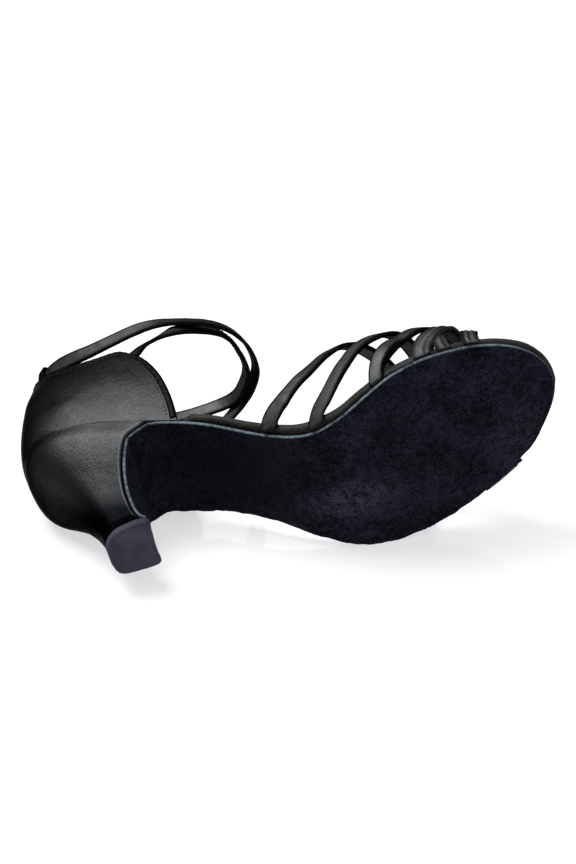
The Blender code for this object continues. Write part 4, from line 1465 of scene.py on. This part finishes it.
@dataclass
class Quarter:
    """Closed back: a satin wall with its lining, bound rim and stitches."""

    stations: int = 150
    rows: int = 34
    rim_cut: float = 0.10
    rim_run: float = 0.060
    bind_half: float = 0.00155
    bind_wide: float = 0.0017
    bind_inset: float = 0.0012
    bind_lift: float = 0.0001
    stitch_inset: float = 0.0037
    stitch_gap: float = 0.0026
    stitch_lift: float = 0.00005
    pucker: float = 0.00008
    dent: float = 0.00016
    dent_size: float = 0.016
    rim_steps: int = 60
    rim_reach: int = 6
    folds: tuple[tuple[float, float, float, float, float], ...] = (
        (0.33, 0.50, 0.060, 0.22, -0.00045),
        (0.27, 0.32, 0.050, 0.14, 0.00030),
        (0.38, 0.70, 0.060, 0.14, 0.00030),
        (0.12, 0.45, 0.090, 0.40, 0.00030),
        (0.70, 0.45, 0.060, 0.25, -0.00040),
        (0.85, 0.45, 0.080, 0.40, 0.00030),
    )

    def top(self, turn: float) -> float:
        """Level of the rim, which rounds off at both front corners."""
        near = min(turn, 1 - turn)
        return 1 - self.rim_cut * max(0.0, 1 - near / self.rim_run) ** 2

    def wall(self, turn: float, level: float) -> Vector:
        """Point on the outside of the wall, with its soft folds."""
        point = Last.quarter(turn, level)
        out = Last.quarter_out(turn, level)
        rise = self.dent * wander(point, self.dent_size)
        for at, height, wide, tall, depth in self.folds:
            rise += depth * bump_at(turn - at, wide) * bump_at(level - height, tall)
        return point + out * rise

    def shell(self) -> bpy.types.Object:
        """Model the wall, satin outside and lining inside."""
        rings = []
        for turn in spaced(self.stations, 0.3):
            top = self.top(turn)
            levels = [top * j / self.rows for j in range(self.rows + 1)]
            outer = [self.wall(turn, level) for level in levels]
            inner = [Last.quarter(turn, level) - Last.quarter_out(turn, level) * QUARTER_WALL
                     for level in levels]
            rings.append(outer + inner[::-1])
        slots = [0] * self.rows + [1] * (self.rows + 2)
        return Workbench.tube("quarter_wall", rings, slots=slots, sharp=50.0)

    def rim(self) -> list[tuple[float, float]]:
        """Places along the bound rim, up the inner front, round the top and down."""
        count = self.rim_steps
        inner = [(0.0, self.top(0.0) * i / count) for i in range(2, count)]
        over = [(i / (4 * count), self.top(i / (4 * count))) for i in range(4 * count + 1)]
        return inner + over + [(1.0, level) for _, level in reversed(inner)]

    def inward(self, places: Sequence[tuple[float, float]], index: int) -> tuple[Vector, ...]:
        """Point, run, outward and inward directions at one place of the rim."""
        turn, level = places[index]
        here = Last.quarter(turn, level)
        ahead = Last.quarter(*places[min(index + self.rim_reach, len(places) - 1)])
        behind = Last.quarter(*places[max(index - self.rim_reach, 0)])
        run = (ahead - behind).normalized()
        out = Last.quarter_out(turn, level)
        out = (out - run * out.dot(run)).normalized()
        return here, run, out, out.cross(run).normalized()

    def binding(self) -> bpy.types.Object:
        """Model the binding that wraps the rim."""
        places = self.rim()
        rings = []
        for index in range(len(places)):
            here, _, out, within = self.inward(places, index)
            centre = here + within * self.bind_inset - out * (QUARTER_WALL / 2 - self.bind_lift)
            pucker = self.pucker * math.sin(index * 1.1)
            ring = []
            for k in range(16):
                u, v = squircle(2 * math.pi * k / 16, 0.8)
                ring.append(centre + within * (u * self.bind_wide) + out * (v * self.bind_half + pucker))
            rings.append(ring)
        return Workbench.tube("quarter_binding", rings, sharp=60.0)

    def seam(self) -> bpy.types.Object:
        """Model the stitches beside the binding."""
        places = self.rim()
        points = [Last.quarter(*place) for place in places]
        marks = Workbench.lengths(points)
        found = []
        goal = self.stitch_gap
        for index, mark in enumerate(marks):
            if mark < goal:
                continue
            goal += self.stitch_gap
            here, run, out, within = self.inward(places, index)
            spot = here + within * self.stitch_inset + out * self.stitch_lift
            found.append((spot, run, out))
        return Workbench.stitches("quarter_stitches", found, STITCH_HALVES)

    def build(self) -> None:
        """Model and dress the closed back."""
        wall = [QUARTER_SATIN.material(), LINING_HIDE.material()]
        Workbench.dress(self.shell(), wall, "satin", ["quarter"])
        Workbench.dress(self.binding(), [BINDING_SATIN.material()], "satin")
        Workbench.dress(self.seam(), [THREAD_HIDE.material()], "satin")


@dataclass(frozen=True)
class StrapLook:
    """How one vamp strap differs from the next.

    The pleats run along the strap with painted highlights on their ridges, the roll thickens its
    inner foot, painted shade darkens the inner foot for a given length, and the level is the
    brightness of the painted sheen down its middle.
    """

    lift: float = 0.0
    level: float = 0.036
    pleats: float = 0.0
    pleat_height: float = 0.0
    foot_roll: float = 0.0
    painted_foot_shade: float = 0.0


@dataclass
class VampStrap:
    """One strap over the forefoot."""

    name: str
    row: Sequence[float]
    look: StrapLook
    stations: int = 130
    edge_round: float = 0.0007
    columns: int = 14
    foot_turn: float = 0.03
    foot_taper: float = 0.06
    roll_turn: float = 0.035
    roll_wide: float = 0.045
    crown: float = 0.00012
    dent: float = 0.00014
    dent_size: float = 0.005

    def __post_init__(self) -> None:
        """Read the strap's row."""
        values = dict(zip(STRAP_COLUMNS, self.row))
        steps = zip(STRAP_TURNS, [values[word] * SOLE_LENGTH for word in STRAP_COLUMNS[:7]])
        self.places = Table(("turn", "x"), tuple(steps))
        self.width = STRAP_WIDTH * values["wide"]
        self.raised = values["lift"] * STRAP_THICKNESS + self.look.lift

    def centre(self, turn: float) -> Vector:
        """Middle of the strap."""
        turn = min(max(turn, 0.0), 1.0)
        rise = self.raised * min(1.0, 5 * min(turn, 1 - turn))
        return Last.arch(self.places.read("x", turn), turn, rise)

    def axes(self, turn: float) -> tuple[Vector, Vector, Vector]:
        """Middle of the strap with its outward and across directions."""
        x = self.places.read("x", turn)
        behind, ahead = turn - TURN_STEP, turn + TURN_STEP
        run = (self.centre(ahead) - self.centre(behind)).normalized()
        side = Last.arch(x + ALONG_STEP, turn, 0) - Last.arch(x - ALONG_STEP, turn, 0)
        over = Last.arch(x, min(ahead, 1), 0) - Last.arch(x, max(behind, 0), 0)
        out = side.cross(over).normalized()
        if (turn <= 0.1 and out.y > 0) or (turn >= 0.9 and out.y < 0) or (
                0.1 < turn < 0.9 and out.z < 0):
            out = -out
        across = run.cross(out).normalized()
        foot = min(turn, 1 - turn)
        if foot < self.foot_turn:
            share = 1 - foot / self.foot_turn
            across = across.lerp(level_way(across), share).normalized()
            out = out.lerp(level_way(out), share).normalized()
        return self.centre(turn), out, across

    def relief(self, share: float, height: float) -> float:
        """Pleats and crown over the width of the upper face."""
        if height < 0.5:
            return 0.0
        fade = math.sin(math.pi * share)
        pleat = self.look.pleat_height * math.cos(2 * math.pi * self.look.pleats * share)
        return pleat * fade ** 0.5 + self.crown * fade

    def build(self) -> None:
        """Model and dress the strap."""
        rings = []
        for turn in spaced(self.stations, 1.0):
            here, out, across = self.axes(turn)
            foot = min(turn, 1 - turn)
            share = STRAP_FOOT + (1 - STRAP_FOOT) * min(foot / self.foot_taper, 1.0)
            share += self.look.foot_roll * bump_at(turn - self.roll_turn, self.roll_wide)
            thick = STRAP_THICKNESS * share
            half = across * (self.width / 2)
            base = here - out * (STRAP_THICKNESS * min(share, 1.0) / 2)
            soft = self.dent * wander(here, self.dent_size)
            slim = Band(self.width, thick, self.edge_round * min(share, 1.0), self.columns)
            rings.append(slim.ring(base - half, base + half, out + out * (soft / thick), self.relief))
        across = Band(self.width, STRAP_THICKNESS, self.edge_round, self.columns).across()
        item = Workbench.tube(self.name, rings, sharp=60.0, across=across)
        satin = StrapSatin(self.name + "_satin", self.width, self.look.level,
                           pleats=self.look.pleats, painted_foot_shade=self.look.painted_foot_shade)
        Workbench.dress(item, [satin.material()], "satin", ["vamp_straps"])


@dataclass
class Vamp:
    """Straps that fan over the forefoot and the two that cross under them."""

    # Each look's second number is the brightness of the painted sheen down the strap's middle
    looks: tuple[StrapLook, ...] = (
        StrapLook(0.0, 0.085, painted_foot_shade=0.030),
        StrapLook(0.00045, 0.085, painted_foot_shade=0.026),
        StrapLook(0.0009, 0.075, foot_roll=1.3),
        StrapLook(0.00135, 0.090, 2.0, 0.00022),
        StrapLook(0.0, 0.075, 2.0, 0.00018),
        StrapLook(0.0, 0.110, 3.0, 0.00022),
    )

    def build(self) -> None:
        """Model and dress each strap."""
        for number, (row, look) in enumerate(zip(STRAPS, self.looks), start=1):
            VampStrap("vamp_strap_%d" % number, row, look).build()


@dataclass
class AnkleStrap:
    """Narrow strap wound twice round the ankle, with its loop and buckle."""

    stations: int = 420
    edge_round: float = 0.0006
    gather_start: float = 0.165
    gather_end: float = 0.315
    gather_step: float = 0.0019
    gather_height: float = 0.00045
    gather_ripple: float = 0.0002
    dent: float = 0.00010
    dent_size: float = 0.004

    def strap(self) -> bpy.types.Object:
        """Model the strap, gathered along one edge where it turns forward."""
        band = Band(ANKLE_WIDTH, ANKLE_THICKNESS, self.edge_round, 10)
        rings = []
        length = 0.0
        before = None
        for i in range(self.stations + 1):
            place = i / self.stations
            here, run, out, across = Last.ankle_axes(place)
            length += (here - before).length if before else 0.0
            before = here
            ends = min(place - self.gather_start, self.gather_end - place)
            gathered = min(max(ends / 0.03, 0.0), 1.0)
            phase = 2 * math.pi * length / self.gather_step
            wave = math.sin(phase + 2 * wander(here, self.dent_size))

            def relief(share: float, height: float) -> float:
                rib = self.gather_height * wave * gathered * (0.35 + 0.65 * (1 - share))
                spot = here + across * (share - 0.5) * ANKLE_WIDTH
                soft = self.dent * wander(spot, self.dent_size)
                return (rib if height > 0.5 else rib * 0.5) + soft

            half = across * (ANKLE_WIDTH / 2)
            ripple = across * gathered * self.gather_ripple * wave
            base = here - out * (ANKLE_THICKNESS / 2)
            rings.append(band.ring(base - half - ripple, base + half, out, relief))
        return Workbench.tube("ankle_strap_satin", rings, sharp=60.0, across=band.across())

    def back_loop(self) -> bpy.types.Object:
        """Model the tab that holds the strap at the back."""
        here, run, out, across = Last.ankle_axes(LOOP_PLACE)
        half_high = ANKLE_WIDTH / 2 + LOOP_SLACK + LOOP_BAND / 2
        half_deep = ANKLE_THICKNESS / 2 + LOOP_SLACK + LOOP_BAND / 2
        band = Band(LOOP_WIDTH, LOOP_BAND, 0.0004, 6)
        rings = []
        for i in range(56):
            u, v = squircle(2 * math.pi * i / 56, 0.5)
            middle = here + across * (u * half_high) + out * (v * half_deep)
            spoke = (across * (u * half_deep) + out * (v * half_high)).normalized()
            base = middle - spoke * (LOOP_BAND / 2)
            half = run * (LOOP_WIDTH / 2)
            rings.append(band.ring(base - half, base + half, spoke))
        return Workbench.tube("back_tab", rings, loop=True, sharp=60.0)

    def buckle(self) -> bpy.types.Object:
        """Model the frame of the buckle."""
        _, run, out, across = Last.ankle_axes(BUCKLE_PLACE)
        centre = self.buckle_centre()
        rings = []
        for i in range(72):
            u, v = squircle(2 * math.pi * i / 72, 0.45)
            spoke = (run * u + across * v).normalized()
            middle = centre + run * (u * (BUCKLE_LENGTH - BUCKLE_WIRE) / 2)
            middle += across * (v * (BUCKLE_HEIGHT - BUCKLE_WIRE) / 2)
            rings.append(self.round_ring(middle, spoke, out, BUCKLE_WIRE / 2))
        return Workbench.tube("buckle_frame", rings, loop=True, sharp=60.0)

    def prong(self) -> bpy.types.Object:
        """Model the prong of the buckle, which is rounded at both ends."""
        _, run, out, across = Last.ankle_axes(BUCKLE_PLACE)
        thin = BUCKLE_WIRE * 0.36
        rings = []
        for i in range(25):
            share = i / 24
            middle = self.buckle_centre() + run * ((share - 0.5) * BUCKLE_LENGTH)
            middle += out * (BUCKLE_WIRE / 2 + FIT_GAP + thin)
            end = min(share, 1 - share) * BUCKLE_LENGTH / thin
            radius = thin * math.sqrt(max(1 - max(1 - end, 0.0) ** 2, 0.04))
            rings.append(self.round_ring(middle, across, out, radius))
        return Workbench.tube("buckle_pin", rings, sharp=60.0)

    @staticmethod
    def buckle_centre() -> Vector:
        """Middle of the buckle, on the strap's outside."""
        here, _, out, _ = Last.ankle_axes(BUCKLE_PLACE)
        return here + out * (ANKLE_THICKNESS / 2 + 2 * FIT_GAP + BUCKLE_WIRE / 2)

    @staticmethod
    def round_ring(middle: Vector, side: Vector, up: Vector, radius: float) -> Ring:
        """Round section of a wire."""
        angles = [math.pi * k / 8 for k in range(16)]
        return [middle + (side * math.cos(a) + up * math.sin(a)) * radius for a in angles]

    def build(self) -> None:
        """Model and dress the strap, its tab and its buckle."""
        # The ankle strap's painted sheen down its middle has brightness 0.070
        satin = StrapSatin("ankle_satin", ANKLE_WIDTH, 0.070)
        Workbench.dress(self.strap(), [satin.material()], "satin", ["ankle_strap"])
        Workbench.dress(self.back_loop(), [BINDING_SATIN.material()], "satin", ["back_loop"])
        metal = Metal().material()
        Workbench.dress(self.buckle(), [metal], "metal", ["buckle"])
        Workbench.dress(self.prong(), [metal], "metal", ["buckle_prong"])


class Side(Enum):
    """Where a light stands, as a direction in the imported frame."""

    ABOVE = (-0.36, 0.27, 0.89)
    FRONT_RIGHT = (0.9, -0.9, 0.8)
    BEHIND = (0.05, 0.80, 0.80)


@dataclass
class Studio:
    """Pale floor, soft lights and the camera."""

    spot: tuple[float, float, float] = (0.02711254, -0.37877785, -0.50216845)
    right: tuple[float, float, float] = (0.94111, 0.18475, -0.28316)
    down: tuple[float, float, float] = (-0.31026, 0.80469, -0.50617)
    focal: float = 62.5
    sensor: float = 36.0
    floor_size: float = 30.0
    lights: dict[Side, tuple[float, float]] = field(default_factory=lambda: {
        Side.ABOVE: (26.0, 0.85),
        Side.FRONT_RIGHT: (2.5, 0.9),
        Side.BEHIND: (1.5, 0.90),
    })
    distance: float = 1.5
    world_strength: float = 0.50
    floor_dark: Colour = (0.45, 0.45, 0.46, 1.0)
    floor_light: Colour = (0.47, 0.47, 0.48, 1.0)
    floor_glow: Colour = (0.97, 0.97, 1.0, 1.0)
    glow_strength: float = 0.62

    def camera(self) -> None:
        """Set up the camera at its place on the standing shoe."""
        data = bpy.data.cameras.new("camera")
        data.sensor_fit = "VERTICAL"
        data.sensor_width = self.sensor
        data.sensor_height = self.sensor
        data.lens = self.focal
        data.clip_start = 0.01
        item = bpy.data.objects.new("camera", data)
        bpy.context.scene.collection.objects.link(item)
        right, down = Vector(self.right).normalized(), Vector(self.down).normalized()
        ahead = right.cross(down).normalized()
        axes = [SHOE.turned(axis) for axis in (right, ahead.cross(right) * -1, -ahead)]
        turn = Matrix(axes).transposed().to_4x4()
        item.matrix_world = Matrix.Translation(SHOE.place(Vector(self.spot))) @ turn
        bpy.context.scene.camera = item

    def floor(self) -> None:
        """Lay the pale, slightly glossy floor."""
        Workbench.deselect()
        bpy.ops.mesh.primitive_plane_add(size=self.floor_size)
        item = bpy.context.object
        item.name = item.data.name = "studio_floor"
        paint = Paint("floor_white")
        spot = paint.node("ShaderNodeTexCoord", {}, {}).outputs["Object"]
        haze = paint.noise(spot, 0.4, 2.0)
        colour = paint.blend(haze, self.floor_dark, self.floor_light)
        item.data.materials.append(paint.finish(
            base_color=colour, roughness=0.09, specular_ior_level=0.5,
            emission_color=self.floor_glow, emission_strength=self.glow_strength))

    def lamp(self, side: Side, power: float, size: float) -> None:
        """Hang one soft square light that faces the shoe."""
        data = bpy.data.lights.new("light_" + side.name.lower(), "AREA")
        data.energy = power
        data.size = size
        item = bpy.data.objects.new(data.name, data)
        bpy.context.scene.collection.objects.link(item)
        way = Vector(side.value).normalized()
        item.location = way * self.distance
        item.rotation_euler = way.to_track_quat("Z", "Y").to_euler()

    def build(self) -> None:
        """Set up the camera, floor, world and lights."""
        self.camera()
        self.floor()
        for side, (power, size) in self.lights.items():
            self.lamp(side, power, size)
        world = bpy.data.worlds.new("studio")
        world.use_nodes = True
        back = world.node_tree.nodes["Background"]
        back.inputs["Color"].default_value = (1.0, 1.0, 1.0, 1.0)
        back.inputs["Strength"].default_value = self.world_strength
        bpy.context.scene.world = world
        bpy.context.scene.view_settings.view_transform = "Standard"
        bpy.context.scene.view_settings.look = "None"


def main() -> None:
    """Build the shoe piece by piece."""
    logging.basicConfig(level=logging.INFO, format="%(name)s: %(message)s")
    Studio().build()
    for part in (Sole(), Footbed(), Heel(), Quarter(), Vamp(), AnkleStrap()):
        LOG.info("building %s", type(part).__name__)
        part.build()
    Workbench.deselect()


if __name__ == "__main__":
    main()
